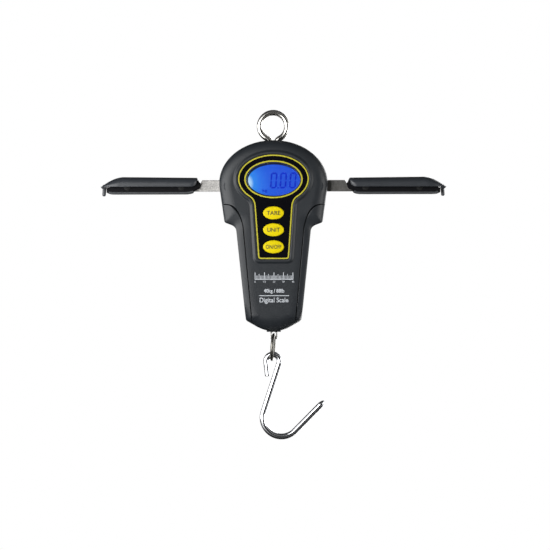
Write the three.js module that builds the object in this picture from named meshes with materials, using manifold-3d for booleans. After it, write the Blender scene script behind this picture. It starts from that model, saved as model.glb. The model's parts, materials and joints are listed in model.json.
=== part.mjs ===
// Digital fish scale with two fold-out handles, a link ring and a load hook.
// Units are millimetres. +Z is up, +X is to the right seen from the front, and the front faces -Y.
// The origin is the highest point inside the hanging eye, where the scale's weight is carried.

import * as THREE from 'three';
import { mergeVertices } from 'three/addons/utils/BufferGeometryUtils.js';
import Module from 'manifold-3d';

const wasm = await Module();
wasm.setup();

const { Vector2, Vector3 } = THREE;
const { degToRad, lerp } = THREE.MathUtils;

// ---- Driving dimensions -------------------------------------------------------------------

const GAP = 0.3;                       // clearance between fixed neighbours

// Hanging eye, bent from round wire, its two legs side by side
const EYE_WIRE = 4.2;
const EYE_INNER_RADIUS = 8;
const EYE_LEG_X = 2.3;
const EYE_LEG_END = -30;

// Housing outline: an elliptical head, shoulders, and a tapering lower body
const BODY_TOP = -18.6;
const HEAD_HALF_WIDTH = 40;
const HEAD_HALF_HEIGHT = 31.6;
const HEAD_Z = BODY_TOP - HEAD_HALF_HEIGHT;
const SHOULDER = new Vector2(36.2, -79.4);
const WAIST = new Vector2(27.4, -85.6);
const TOE = new Vector2(20.5, -151.6);
const HEEL = new Vector2(14.6, -154.9);
const BODY_BOTTOM = -159.5;
const SIDE_SLOPE = (WAIST.x - TOE.x) / (WAIST.y - TOE.y);
const HALF_DEPTH = 15;
const EDGE_RADIUS = 6;
const WALL = 2;

// Front casing: the head's front and a tongue between the rear casing's side rails
const SEAM_TOP = -65.9;
const TONGUE_TOP = new Vector2(22, -84.4);
const TONGUE_TOE = new Vector2(15.7, -154.4);

// Keyhole-shaped fascia and its raised bezel
const FASCIA_Z = -47.4;
const FASCIA_SEMI = new Vector2(26.2, 18.1);
const FASCIA_NECK = new Vector2(14.2, -67);
const FASCIA_FOOT = new Vector2(11.5, -106.5);
const BEZEL_FRONT = -HALF_DEPTH - 1.3;
const FASCIA_FLOOR = -HALF_DEPTH - 0.7;
const FASCIA_THICKNESS = 0.5;

// Display
const WINDOW_Z = -47.7;
const WINDOW_SEMI = new Vector2(20, 12.5);
const LCD_WIDTH = 42;
const LCD_HEIGHT = 28;

// Keys, from the top down
const KEYS = { tare: -72.4, unit: -84.8, power: -97.3 };
const KEY_SEMI = new Vector2(7.75, 4.95);
const KEY_FRONT = -17.4;

// Handles
const PIVOT = new Vector2(31.7, -52.6);
const PIVOT_BOSS_RADIUS = 5;
const PIVOT_HOLE_RADIUS = 2.3;
const STRIP_TOP = -47.8;
const STRIP_BOTTOM = -56.2;
const STRIP_HALF_THICKNESS = 1;
const GRIP_NEAR = 53.9;
const GRIP_TIP = 127.6;
const GRIP_TOP = -45.5;
const GRIP_CREASE = -52.9;
const GRIP_BOTTOM = -58.2;
const GRIP_HALF_DEPTH = 9.5;
const CORE_HALF_DEPTH = 4.9;
const RIVET_X = [68, 108];
const RIVET_Z = -53.2;
const RIVET_HOLE_RADIUS = 1.8;

// Load path below the load cell
const BAR_HALF_WIDTH = 2.65;
const BAR_HALF_THICKNESS = 1.25;
const BAR_BOTTOM = -165.8;
const BAR_HOLE_Z = -161.8;
const BAR_HOLE_RADIUS = 1.8;
const RING_WIRE = 2.5;
const RING_RADIUS = 9.1;
const HOOK_WIRE = 4.3;

// Power and fixings
const CELL_RADIUS = 5.25;
const CELL_LENGTH = 44.5;
const CELL_X = 5.6;
const CELL_Y = 7.4;
const COVER_HALF_WIDTH = 12.2;
const COVER_TOP = -96.5;
const COVER_BOTTOM = -149.2;
const SCREWS = [[27, -36.5], [14.2, -92], [7.6, -152.8]];

// ---- Materials ----------------------------------------------------------------------------

function finish(color, roughness, metalness = 0) {
  return new THREE.MeshStandardMaterial({ color, roughness, metalness });
}

const MATERIALS = {
  charcoal: finish(0x4b4d50, 0.55),
  gloss: finish(0x0a0a0a, 0.15),
  clear: finish(0xdde6ee, 0.05),
  display: finish(0x2a66e0, 0.2),
  white: finish(0xe6e6e2, 0.4),
  rubber: finish(0x303030, 0.8),
  board: finish(0x1f6b3a, 0.5),
  black: finish(0x15151a, 0.5),
  yellow: finish(0xeed700, 0.45),
  chrome: finish(0xb8b8b6, 0.15, 1),
  steel: finish(0xa8a49c, 0.35, 1),
  darkSteel: finish(0x55554f, 0.3, 1),
  alloy: finish(0xb4b7bb, 0.4, 1),
  brass: finish(0xc09a4a, 0.3, 1),
  copper: finish(0xb5793a, 0.4),
  grip: finish(0x3a3c40, 0.5),
  cell: finish(0x2c4f88, 0.3),
};

// ---- Solids -------------------------------------------------------------------------------

function toSolid(geometry) {
  const bare = new THREE.BufferGeometry();
  bare.setAttribute('position', geometry.getAttribute('position'));
  bare.setIndex(geometry.index);
  const merged = mergeVertices(bare, 1e-4);
  return new wasm.Manifold(new wasm.Mesh({
    numProp: 3,
    vertProperties: new Float32Array(merged.getAttribute('position').array),
    triVerts: new Uint32Array(merged.index.array),
  }));
}

function toGeometry(solid) {
  const mesh = solid.getMesh();
  const geometry = new THREE.BufferGeometry();
  geometry.setAttribute('position', new THREE.BufferAttribute(new Float32Array(mesh.vertProperties), 3));
  geometry.setIndex(new THREE.BufferAttribute(new Uint32Array(mesh.triVerts), 1));
  geometry.computeVertexNormals();
  return geometry;
}

// A box between two corners.
function box([x0, y0, z0], [x1, y1, z1]) {
  const geometry = new THREE.BoxGeometry(x1 - x0, y1 - y0, z1 - z0);
  return toSolid(geometry.translate((x0 + x1) / 2, (y0 + y1) / 2, (z0 + z1) / 2));
}

// A flat outline in the XZ plane, given as points, made solid between two depths.
function slab(outline, yFront, yBack, holes = []) {
  const shape = new THREE.Shape(outline);
  shape.holes = holes.map((hole) => new THREE.Path(hole));
  const geometry = new THREE.ExtrudeGeometry(shape, { depth: yBack - yFront, bevelEnabled: false });
  return toSolid(geometry.rotateX(Math.PI / 2).translate(0, yBack, 0));
}

// The same with its front and back edges rounded over.
function roundedSlab(outline, yFront, yBack, radius) {
  const geometry = new THREE.ExtrudeGeometry(new THREE.Shape(outline), {
    depth: yBack - yFront - 2 * radius,
    bevelThickness: radius,
    bevelSize: radius,
    bevelOffset: -radius,
    bevelSegments: 2,
  });
  return toSolid(geometry.rotateX(Math.PI / 2).translate(0, yBack - radius, 0));
}

function ellipse(x, z, semiX, semiZ, count = 32) {
  return Array.from({ length: count }, (_, i) => {
    const angle = (2 * Math.PI * i) / count;
    return new Vector2(x + semiX * Math.cos(angle), z + semiZ * Math.sin(angle));
  });
}

function rectangle(x0, z0, x1, z1) {
  return [new Vector2(x0, z0), new Vector2(x1, z0), new Vector2(x1, z1), new Vector2(x0, z1)];
}

// A round bar along Y.
function barY(x, z, radius, yFront, yBack, count = 16) {
  return slab(ellipse(x, z, radius, radius, count), yFront, yBack);
}

// A round bar that follows a curve.
function rod(curve, diameter, steps, sides = 10) {
  const section = new THREE.Shape(ellipse(0, 0, diameter / 2, diameter / 2, sides));
  return toSolid(new THREE.ExtrudeGeometry(section, { steps, extrudePath: curve }));
}

// The same for a flat bend, drawn as a path in the XZ plane.
function bentWire(path, diameter, steps, sides = 10) {
  const points = path.getSpacedPoints(steps).map((point) => new Vector3(point.x, 0, point.y));
  return rod(new THREE.CatmullRomCurve3(points), diameter, steps, sides);
}

// A profile of [radius, z] pairs turned about a vertical line.
function turned(profile, x, y, count = 20) {
  const points = profile.map(([radius, z]) => new Vector2(radius, z));
  const geometry = new THREE.LatheGeometry(points, count);
  return toSolid(geometry.rotateX(Math.PI / 2).translate(x, y, 0));
}

// A closed skin over rings of equal point count, which run from the front to the back.
// Each ring goes counter-clockwise seen from the front.
function loft(rings) {
  const count = rings[0].length;
  const faces = [];
  for (let ring = 0; ring < rings.length - 1; ring += 1) {
    for (let i = 0; i < count; i += 1) {
      const a = ring * count + i;
      const b = ring * count + ((i + 1) % count);
      faces.push([a, a + count, b], [b, a + count, b + count]);
    }
  }
  const last = (rings.length - 1) * count;
  const flatRing = rings[0].map((point) => new Vector2(point.x, point.z));
  for (const [a, b, c] of THREE.ShapeUtils.triangulateShape(flatRing, [])) {
    faces.push([a, b, c], [a + last, c + last, b + last]);
  }
  const geometry = new THREE.BufferGeometry().setFromPoints(rings.flat());
  geometry.setIndex(faces.flat());
  return toSolid(geometry);
}

function atDepth(outline, y) {
  return outline.map((point) => new Vector3(point.x, y, point.y));
}

// Completes an outline from its right half, which runs from the top middle to the bottom middle.
function mirrored(rightHalf) {
  const isOffAxis = (point) => point.x > 1e-6;
  const leftHalf = rightHalf.filter(isOffAxis).map((point) => new Vector2(-point.x, point.y));
  return [...leftHalf, ...rightHalf.slice().reverse()];
}

function union(solids) {
  return solids.reduce((joined, solid) => joined.add(solid));
}

function withMirror(solid) {
  return solid.add(solid.mirror([1, 0, 0]));
}

// ---- Housing ------------------------------------------------------------------------------

// The body's outline in the XZ plane, moved inwards by an inset.
function bodyOutline(inset) {
  const right = [];
  const headSteps = 13;
  for (let i = 0; i <= headSteps; i += 1) {
    const angle = lerp(Math.PI / 2, degToRad(-5.6), i / headSteps);
    right.push(new Vector2(
      (HEAD_HALF_WIDTH - inset) * Math.cos(angle),
      HEAD_Z + (HEAD_HALF_HEIGHT - inset) * Math.sin(angle),
    ));
  }
  const moved = (x, z) => new Vector2(x - inset, z + inset);
  right.push(moved(SHOULDER.x, SHOULDER.y + 1), moved(SHOULDER.x - 1, SHOULDER.y));
  const notch = new THREE.QuadraticBezierCurve(
    moved(SHOULDER.x - 4.4, SHOULDER.y - 1.5),
    moved(WAIST.x + 0.4, SHOULDER.y - 2.8),
    moved(WAIST.x, WAIST.y),
  );
  right.push(...notch.getPoints(4));
  right.push(new Vector2(TOE.x - inset, TOE.y + 0.6 * inset));
  const bottom = new THREE.QuadraticBezierCurve(
    new Vector2(HEEL.x - 0.6 * inset, HEEL.y + inset),
    new Vector2(HEEL.x / 2, BODY_BOTTOM + inset),
    new Vector2(0, BODY_BOTTOM + inset),
  );
  right.push(...bottom.getPoints(4));
  return mirrored(right);
}

// The body's whole block, shrunk on every side, with its front and back edges rounded.
function bodyBlock(shrink, edgeSteps) {
  const radius = EDGE_RADIUS - shrink;
  const depth = HALF_DEPTH - shrink;
  const front = [];
  for (let i = 0; i <= edgeSteps; i += 1) {
    const angle = (i / edgeSteps) * (Math.PI / 2);
    const inset = shrink + radius * (1 - Math.sin(angle));
    front.push({ outline: bodyOutline(inset), y: -depth + radius * (1 - Math.cos(angle)) });
  }
  const back = front.slice().reverse().map(({ outline, y }) => ({ outline, y: -y }));
  return loft([...front, ...back].map(({ outline, y }) => atDepth(outline, y)));
}

function sideX(z) {
  return WAIST.x - SIDE_SLOPE * (WAIST.y - z);
}

// The room that the folded handles take out of the shoulders and the lower body's sides.
function handleRoom(grow) {
  const outside = 60;
  const grooveDepth = 7.3 + grow;
  const grooveTop = WAIST.y + 3;
  const grooveEnd = -149 - grow;
  const groove = slab([
    new Vector2(sideX(grooveTop) - grooveDepth, grooveTop),
    new Vector2(sideX(grooveEnd) - grooveDepth, grooveEnd),
    new Vector2(outside, grooveEnd),
    new Vector2(outside, grooveTop),
  ], -5.8 - grow, 5.8 + grow);
  const noseRoom = box([20.6 - grow, -5.8 - grow, WAIST.y], [outside, 5.8 + grow, -73.2 + grow]);
  const coverRoom = box([27.6 - grow, -10.3 - grow, WAIST.y], [outside, 10.3 + grow, -75.2 + grow]);
  return withMirror(union([groove, noseRoom, coverRoom]));
}

function stripSlots() {
  return withMirror(box([25.2, -1.6, -84], [60, 1.6, STRIP_TOP + 0.35]));
}

// The part of the XZ plane that the front casing covers, grown by an offset.
function frontRegion(offset) {
  const outside = 60;
  const right = [
    new Vector2(0, 0),
    new Vector2(outside, 0),
    new Vector2(outside, SEAM_TOP - offset),
    new Vector2(34.6 + offset, SEAM_TOP - offset),
  ];
  const curve = new THREE.QuadraticBezierCurve(
    right[3],
    new Vector2(24.8 + offset, SEAM_TOP - 0.7 - offset),
    new Vector2(TONGUE_TOP.x + offset, TONGUE_TOP.y),
  );
  right.push(...curve.getPoints(6).slice(1));
  right.push(new Vector2(TONGUE_TOE.x + offset, TONGUE_TOE.y));
  right.push(new Vector2(TONGUE_TOE.x + offset, BODY_BOTTOM - 5));
  right.push(new Vector2(0, BODY_BOTTOM - 5));
  return mirrored(right);
}

// The fascia's keyhole outline, grown by an offset.
function keyhole(offset, steps = 16) {
  const right = [];
  const lowest = degToRad(-48);
  for (let i = 0; i <= steps; i += 1) {
    const angle = lerp(Math.PI / 2, lowest, i / steps);
    right.push(new Vector2(
      (FASCIA_SEMI.x + offset) * Math.cos(angle),
      FASCIA_Z + (FASCIA_SEMI.y + offset) * Math.sin(angle),
    ));
  }
  const fillet = new THREE.QuadraticBezierCurve(
    right[steps],
    new Vector2(FASCIA_NECK.x + 0.6 + offset, FASCIA_NECK.y + 4.2 - offset / 2),
    new Vector2(FASCIA_NECK.x + offset, FASCIA_NECK.y),
  );
  right.push(...fillet.getPoints(3).slice(1));
  const corner = 1.2;
  right.push(new Vector2(FASCIA_FOOT.x + offset, FASCIA_FOOT.y - offset + corner));
  right.push(new Vector2(FASCIA_FOOT.x + offset - corner, FASCIA_FOOT.y - offset));
  right.push(new Vector2(0, FASCIA_FOOT.y - offset));
  return mirrored(right);
}

function bezel() {
  return loft([
    atDepth(keyhole(1.7), BEZEL_FRONT),
    atDepth(keyhole(3.3), -HALF_DEPTH),
    atDepth(keyhole(3.3), -HALF_DEPTH + WALL / 2),
  ]);
}

function keyOpenings(clearance, yFront, yBack) {
  const opening = (z) => slab(
    ellipse(0, z, KEY_SEMI.x + clearance, KEY_SEMI.y + clearance, 20), yFront, yBack,
  );
  return union(Object.values(KEYS).map(opening));
}

function displayOpening(clearance, yFront, yBack) {
  return slab(
    ellipse(0, WINDOW_Z, WINDOW_SEMI.x + clearance, WINDOW_SEMI.y + clearance, 28), yFront, yBack,
  );
}

// Where the eye's legs enter at the top and the pull bar leaves at the bottom.
function endOpenings() {
  const eye = box([-5.7, -2.6, -23], [5.7, 2.6, BODY_TOP + 3]);
  const bar = box([-BAR_HALF_WIDTH - 0.5, -BAR_HALF_THICKNESS - 0.5, BODY_BOTTOM - 2],
    [BAR_HALF_WIDTH + 0.5, BAR_HALF_THICKNESS + 0.5, BODY_BOTTOM + 6]);
  return eye.add(bar);
}

function pivotBars(radius, yFront, yBack) {
  return withMirror(barY(PIVOT.x, PIVOT.y, radius, yFront, yBack));
}

function screwPosts(radius, yFront, yBack) {
  return union(SCREWS.map(([x, z]) => withMirror(barY(x, z, radius, yFront, yBack, 16))));
}

function bodySkin() {
  const collar = box([-5.2, -3.6, BODY_BOTTOM - 0.5], [5.2, 3.6, BODY_BOTTOM + 3]);
  const cavity = bodyBlock(WALL, 1);
  return bodyBlock(0, 3).add(collar).subtract(cavity).subtract(endOpenings());
}

function frontCasing() {
  return bodySkin()
    .intersect(slab(frontRegion(0), -30, -GAP / 2))
    .add(bezel())
    .add(pivotBars(PIVOT_BOSS_RADIUS, -HALF_DEPTH + WALL / 2, -2.2))
    .add(screwPosts(3, -HALF_DEPTH + WALL / 2, -GAP / 2))
    .subtract(slab(keyhole(GAP), -20, FASCIA_FLOOR))
    .subtract(displayOpening(0.3, -20, -12))
    .subtract(keyOpenings(0.35, -20, -12))
    .subtract(pivotBars(PIVOT_HOLE_RADIUS, -12, -2))
    .subtract(screwPosts(1.7, -10, 1))
    .subtract(stripSlots());
}

function rearCasing() {
  const frontSide = slab(frontRegion(GAP), -30, GAP / 2);
  const room = handleRoom(0);
  const roomWalls = handleRoom(WALL - 0.2).intersect(bodyBlock(0.5, 2));
  const doorway = box([-COVER_HALF_WIDTH - GAP, 12, COVER_BOTTOM - GAP],
    [COVER_HALF_WIDTH + GAP, 20, COVER_TOP + GAP]);
  return bodySkin()
    .subtract(frontSide)
    .add(roomWalls)
    .add(pivotBars(PIVOT_BOSS_RADIUS, 2.2, HALF_DEPTH - WALL / 2))
    .add(screwPosts(4, GAP / 2, HALF_DEPTH - WALL / 2))
    .subtract(pivotBars(PIVOT_HOLE_RADIUS, 2, 12))
    .subtract(screwPosts(1.7, 0, 20))
    .subtract(screwPosts(2.8, 10.2, 20))
    .subtract(doorway)
    .subtract(room)
    .subtract(stripSlots());
}

function fascia() {
  const front = FASCIA_FLOOR - GAP / 2 - FASCIA_THICKNESS;
  return slab(keyhole(0), front, front + FASCIA_THICKNESS)
    .subtract(displayOpening(0, -20, -10))
    .subtract(keyOpenings(0.2, -20, -10));
}

// The battery door, with a grooved thumb patch near its top.
function batteryCover() {
  const plate = box([-COVER_HALF_WIDTH, HALF_DEPTH - WALL, COVER_BOTTOM],
    [COVER_HALF_WIDTH, HALF_DEPTH, COVER_TOP]);
  const grooves = Array.from({ length: 4 }, (_, i) => {
    const z = COVER_TOP - 5 - 2.4 * i;
    return box([-5, HALF_DEPTH - 0.6, z - 0.6], [5, HALF_DEPTH + 1, z + 0.6]);
  });
  return plate.subtract(union(grooves));
}

function casingScrew(x, z) {
  const shank = barY(x, z, 1.4, -9, 11, 12);
  const head = barY(x, z, 2.5, 10.5, 12.3, 16);
  const slot = box([x - 1.6, 11.7, z - 0.35], [x + 1.6, 13, z + 0.35]);
  return shank.add(head).subtract(slot);
}

// ---- Display, keys and electronics --------------------------------------------------------

function lcdWindow() {
  return displayOpening(2.4, -12.7, -11.7);
}

function centredPlate(halfWidth, halfHeight, z, yFront, yBack) {
  return box([-halfWidth, yFront, z - halfHeight], [halfWidth, yBack, z + halfHeight]);
}

function circuitBoard() {
  const outline = mirrored([
    new Vector2(0, -32.8),
    new Vector2(22, -32.8),
    new Vector2(22, -63),
    new Vector2(9.8, -66),
    new Vector2(9.8, -104),
    new Vector2(0, -104),
  ]);
  return slab(outline, -6.6, -5);
}

function key(z) {
  const cap = roundedSlab(ellipse(0, z, KEY_SEMI.x, KEY_SEMI.y, 20), KEY_FRONT, -12.4, 0.5);
  const flange = slab(ellipse(0, z, KEY_SEMI.x + 1.1, KEY_SEMI.y + 1.1, 20), -12.7, -11.8);
  const plunger = barY(0, z, 1.5, -12, -10.9, 12);
  return union([cap, flange, plunger]);
}

function tactSwitch(z) {
  const body = box([-3, -9.2, z - 3], [3, -6.8, z + 3]);
  return body.add(barY(0, z, 1.4, -10.2, -9, 12));
}

// A flexure block: two slots cut from opposite sides leave an S between the loaded ends.
function loadCell() {
  const slotEnd = 5;
  const outline = rectangle(-9, -88, 9, -32);
  const hole = ellipse(0, -60, 4, 4, 20).reverse();
  const upperSlot = box([-10, -4, -48.5], [slotEnd, 4, -47]);
  const lowerSlot = box([-slotEnd, -4, -73], [10, 4, -71.5]);
  const barFork = box([-BAR_HALF_WIDTH - 0.4, -1.6, -90], [BAR_HALF_WIDTH + 0.4, 1.6, -80]);
  return slab(outline, -2.5, 2.5, [hole])
    .subtract(upperSlot)
    .subtract(lowerSlot)
    .subtract(barFork)
    .subtract(barY(0, -36, 1.8, -5, 5, 16))
    .subtract(barY(0, -84, 1.6, -5, 5, 16));
}

// A flat cable from the back of the load cell, round its side, to the back of the board.
function gaugeRibbon() {
  const bottom = -63.5;
  const back = box([4, 3.2, bottom], [11, 3.5, bottom + 5]);
  const side = box([10.7, -4.6, bottom], [11, 3.5, bottom + 5]);
  const front = box([10.7, -4.6, bottom], [14, -4.3, bottom + 5]);
  return union([back, side, front]);
}

// ---- Load path ----------------------------------------------------------------------------

function eyeLoop() {
  const radius = EYE_INNER_RADIUS + EYE_WIRE / 2;
  const centre = -EYE_INNER_RADIUS;
  const openAngle = degToRad(28);
  const start = -Math.PI / 2 + openAngle;
  const end = -Math.PI / 2 - openAngle;
  const arcX = radius * Math.sin(openAngle);
  const arcZ = centre - radius * Math.cos(openAngle);
  const cornerZ = arcZ - (arcX - EYE_LEG_X) * Math.tan(openAngle);
  const bendEnd = cornerZ - 3;
  const path = new THREE.Path();
  path.moveTo(EYE_LEG_X, EYE_LEG_END);
  path.lineTo(EYE_LEG_X, bendEnd);
  path.quadraticCurveTo(EYE_LEG_X, cornerZ, arcX, arcZ);
  path.absarc(0, centre, radius, start, end + 2 * Math.PI, false);
  path.quadraticCurveTo(-EYE_LEG_X, cornerZ, -EYE_LEG_X, bendEnd);
  path.lineTo(-EYE_LEG_X, EYE_LEG_END);
  const crossHole = box([-6, -1.2, -27.4], [6, 1.2, -25]);
  return bentWire(path, EYE_WIRE, 48, 8).subtract(crossHole);
}

// A forked steel block that holds the eye's legs above and straddles the load cell below.
function eyeBlock() {
  const block = box([-7, -4.7, -40.5], [7, 4.7, -21.6]);
  const fork = box([-8, -2.9, -41], [8, 2.9, -30.6]);
  const legRoom = box([-4.8, -2.4, -32], [4.8, 2.4, -20]);
  const pinHole = box([-5.8, -1.2, -27.4], [5.8, 1.2, -25]);
  return block.subtract(fork)
    .subtract(legRoom)
    .subtract(pinHole)
    .subtract(barY(0, -36, 1.8, -6, 6, 16));
}

function pullBar() {
  const corner = 1.4;
  const x = BAR_HALF_WIDTH;
  const outline = [
    new Vector2(-x + corner, BAR_BOTTOM),
    new Vector2(x - corner, BAR_BOTTOM),
    new Vector2(x, BAR_BOTTOM + corner),
    new Vector2(x, -80.5),
    new Vector2(-x, -80.5),
    new Vector2(-x, BAR_BOTTOM + corner),
  ];
  const ringHole = ellipse(0, BAR_HOLE_Z, BAR_HOLE_RADIUS, BAR_HOLE_RADIUS, 20).reverse();
  const pinHole = ellipse(0, -84, 1.6, 1.6, 16).reverse();
  return slab(outline, -BAR_HALF_THICKNESS, BAR_HALF_THICKNESS, [ringHole, pinHole]);
}

// The ring rests on the bottom of the bar's hole, and leans and turns a little.
const RING_TOP = BAR_HOLE_Z - BAR_HOLE_RADIUS + RING_WIRE / 2 + 0.1;

function linkRing() {
  const geometry = new THREE.TorusGeometry(RING_RADIUS, RING_WIRE / 2, 8, 32);
  geometry.rotateY(Math.PI / 2).translate(0, 0, -RING_RADIUS);
  geometry.rotateZ(degToRad(-4)).rotateY(degToRad(4)).translate(0, 0, RING_TOP);
  return toSolid(geometry);
}

const HOOK = {
  loopX: -0.6,
  loopRadius: 5,
  lean: degToRad(18.97),
  bowl: new Vector2(5.6, -223.6),
  bowlRadius: 13.9,
  rise: degToRad(45.3),
  freeEnd: -192.8,
  legLength: 31,
  pointLength: 4.5,
};

function loadHook() {
  const ringBottom = RING_TOP - 2 * RING_RADIUS;
  const loopZ = ringBottom + RING_WIRE / 2 + GAP + HOOK_WIRE / 2 - HOOK.loopRadius;
  const path = new THREE.Path();
  path.moveTo(HOOK.loopX - HOOK.loopRadius + 1.3, HOOK.freeEnd);
  path.lineTo(HOOK.loopX - HOOK.loopRadius, loopZ);
  path.absarc(HOOK.loopX, loopZ, HOOK.loopRadius, Math.PI, -HOOK.lean, true);
  const legStart = HOOK.rise - Math.PI / 2;
  path.absarc(HOOK.bowl.x, HOOK.bowl.y, HOOK.bowlRadius, Math.PI - HOOK.lean, 2 * Math.PI + legStart, false);
  const straight = HOOK.legLength - HOOK.pointLength;
  const legX = HOOK.bowl.x + HOOK.bowlRadius * Math.cos(legStart) + straight * Math.cos(HOOK.rise);
  const legZ = HOOK.bowl.y + HOOK.bowlRadius * Math.sin(legStart) + straight * Math.sin(HOOK.rise);
  path.lineTo(legX, legZ);
  const point = new THREE.CylinderGeometry(0.9, HOOK_WIRE / 2, HOOK.pointLength + 0.4, 8);
  point.translate(0, HOOK.pointLength / 2, 0);
  point.rotateX(Math.PI / 2).rotateY(Math.PI / 2 - HOOK.rise).translate(legX, 0, legZ);
  return bentWire(path, HOOK_WIRE, 56, 8).add(toSolid(point));
}

// ---- Power --------------------------------------------------------------------------------

// A cell standing on z, its raised contact at the top or at the bottom.
function battery(x, z, contactUp) {
  const contact = 1;
  const profile = [[0, 0], [CELL_RADIUS, 0], [CELL_RADIUS, CELL_LENGTH - contact],
    [1.9, CELL_LENGTH - contact], [1.9, CELL_LENGTH], [0, CELL_LENGTH]];
  const upright = turned(profile, 0, 0, 24);
  const solid = contactUp ? upright : upright.mirror([0, 0, 1]).translate([0, 0, CELL_LENGTH]);
  return solid.translate([x, CELL_Y, z]);
}

class Coil extends THREE.Curve {
  constructor(x, zBottom, height, radius, turns) {
    super();
    Object.assign(this, { x, zBottom, height, radius, turns });
  }

  getPoint(t, target = new Vector3()) {
    const angle = 2 * Math.PI * this.turns * t;
    const radius = this.radius * (1 - 0.4 * t);
    return target.set(
      this.x + radius * Math.cos(angle),
      CELL_Y + radius * Math.sin(angle),
      this.zBottom + this.height * t,
    );
  }
}

function batterySpring(x, zBottom, zTop) {
  const wire = 0.6;
  const coil = new Coil(x, zBottom + wire / 2, zTop - zBottom - wire, 3.6, 2);
  return rod(coil, wire, 20, 5);
}

// ---- Handles, drawn on the right and mirrored to the left ---------------------------------

function pivotPin() {
  return barY(PIVOT.x, PIVOT.y, 2, -11.5, 11.5);
}

function pivotWasher() {
  return barY(PIVOT.x, PIVOT.y, 4, 1.2, 1.8)
    .subtract(barY(PIVOT.x, PIVOT.y, PIVOT_HOLE_RADIUS, 0, 3));
}

function strip() {
  const innerRadius = (STRIP_TOP - STRIP_BOTTOM) / 2;
  const middle = (STRIP_TOP + STRIP_BOTTOM) / 2;
  const innerEnd = Array.from({ length: 9 }, (_, i) => {
    const angle = lerp(Math.PI / 2, (3 * Math.PI) / 2, i / 8);
    return new Vector2(PIVOT.x + innerRadius * Math.cos(angle), middle + innerRadius * Math.sin(angle));
  });
  const outline = [
    ...innerEnd,
    new Vector2(116, STRIP_BOTTOM),
    new Vector2(116, -50.2),
    new Vector2(GRIP_NEAR + 0.2, -50.2),
    new Vector2(GRIP_NEAR - 1.2, STRIP_TOP),
  ];
  const holes = [
    [PIVOT.x, PIVOT.y, PIVOT_HOLE_RADIUS],
    ...RIVET_X.map((x) => [x, RIVET_Z, RIVET_HOLE_RADIUS]),
  ];
  return slab(
    outline, -STRIP_HALF_THICKNESS, STRIP_HALF_THICKNESS,
    holes.map(([x, z, radius]) => ellipse(x, z, radius, radius, 16).reverse()),
  );
}

// The outer shell of a grip: a channel open along its lower side, with a latch peg at its tip.
function gripCover() {
  const tip = new THREE.QuadraticBezierCurve(
    new Vector2(GRIP_TIP, GRIP_CREASE),
    new Vector2(GRIP_TIP - 8.5, GRIP_TOP - 0.6),
    new Vector2(GRIP_TIP - 16.5, GRIP_TOP),
  );
  const outline = [
    new Vector2(58.6, GRIP_CREASE),
    ...tip.getPoints(6),
    new Vector2(56.3, GRIP_TOP - 0.6),
    new Vector2(55.1, -48.6),
    new Vector2(56.2, -51.6),
  ];
  const channel = slab([
    new Vector2(50, -60),
    new Vector2(122.2, -60),
    new Vector2(122.2, GRIP_CREASE),
    new Vector2(119.3, -50.2),
    new Vector2(112.5, -47.3),
    new Vector2(50, -47.3),
  ], -7.7, 7.7);
  const pegAxis = new THREE.LineCurve3(new Vector3(124.9, 0, -51.2), new Vector3(125.4, 0, -59.6));
  const pegBoss = box([123.9, -3.6, -54.3], [126.8, 3.6, GRIP_CREASE + 0.4]);
  return roundedSlab(outline, -GRIP_HALF_DEPTH, GRIP_HALF_DEPTH, 1.6)
    .subtract(channel)
    .add(pegBoss)
    .add(rod(pegAxis, 2.7, 1, 12));
}

// The inner part of a grip, which holds the strip and carries a bead along its lower edge.
function gripCore() {
  const outline = [
    new Vector2(57.9, -55.6),
    new Vector2(60.5, -57.6),
    new Vector2(65, GRIP_BOTTOM),
    new Vector2(119.6, GRIP_BOTTOM),
    new Vector2(123.2, -57),
    new Vector2(123.4, -53.4),
    new Vector2(121.7, -53.3),
    new Vector2(118.9, -50.6),
    new Vector2(112.3, -47.6),
    new Vector2(56, -47.6),
    new Vector2(GRIP_NEAR, -50.4),
    new Vector2(GRIP_NEAR + 1, -53.8),
  ];
  const bead = box([66, -5.4, GRIP_BOTTOM], [119, 5.4, GRIP_BOTTOM + 1.7]);
  const stripRoom = box([50, -1.3, STRIP_BOTTOM - 0.3], [116.4, 1.3, -49.9]);
  const rivetHoles = RIVET_X.map((x) => barY(x, RIVET_Z, RIVET_HOLE_RADIUS, -8, 8));
  return union([slab(outline, -CORE_HALF_DEPTH, CORE_HALF_DEPTH), bead])
    .subtract(stripRoom)
    .subtract(union(rivetHoles));
}

// A pin with a flat head at each end, just clear of the grip core's faces.
function rivet(x) {
  const headInner = CORE_HALF_DEPTH + 0.05;
  const headOuter = CORE_HALF_DEPTH + 0.5;
  return union([
    barY(x, RIVET_Z, 1.5, -headOuter, headOuter),
    barY(x, RIVET_Z, 2.4, -headOuter, -headInner),
    barY(x, RIVET_Z, 2.4, headInner, headOuter),
  ]);
}

// ---- Assembly -----------------------------------------------------------------------------

const scale = new THREE.Group();

function place(name, solid, material) {
  const mesh = new THREE.Mesh(toGeometry(solid), MATERIALS[material]);
  mesh.name = name;
  scale.add(mesh);
}

place('front_casing', frontCasing(), 'charcoal');
place('rear_casing', rearCasing(), 'charcoal');
place('battery_cover', batteryCover(), 'charcoal');
place('fascia_overlay', fascia(), 'gloss');

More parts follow.
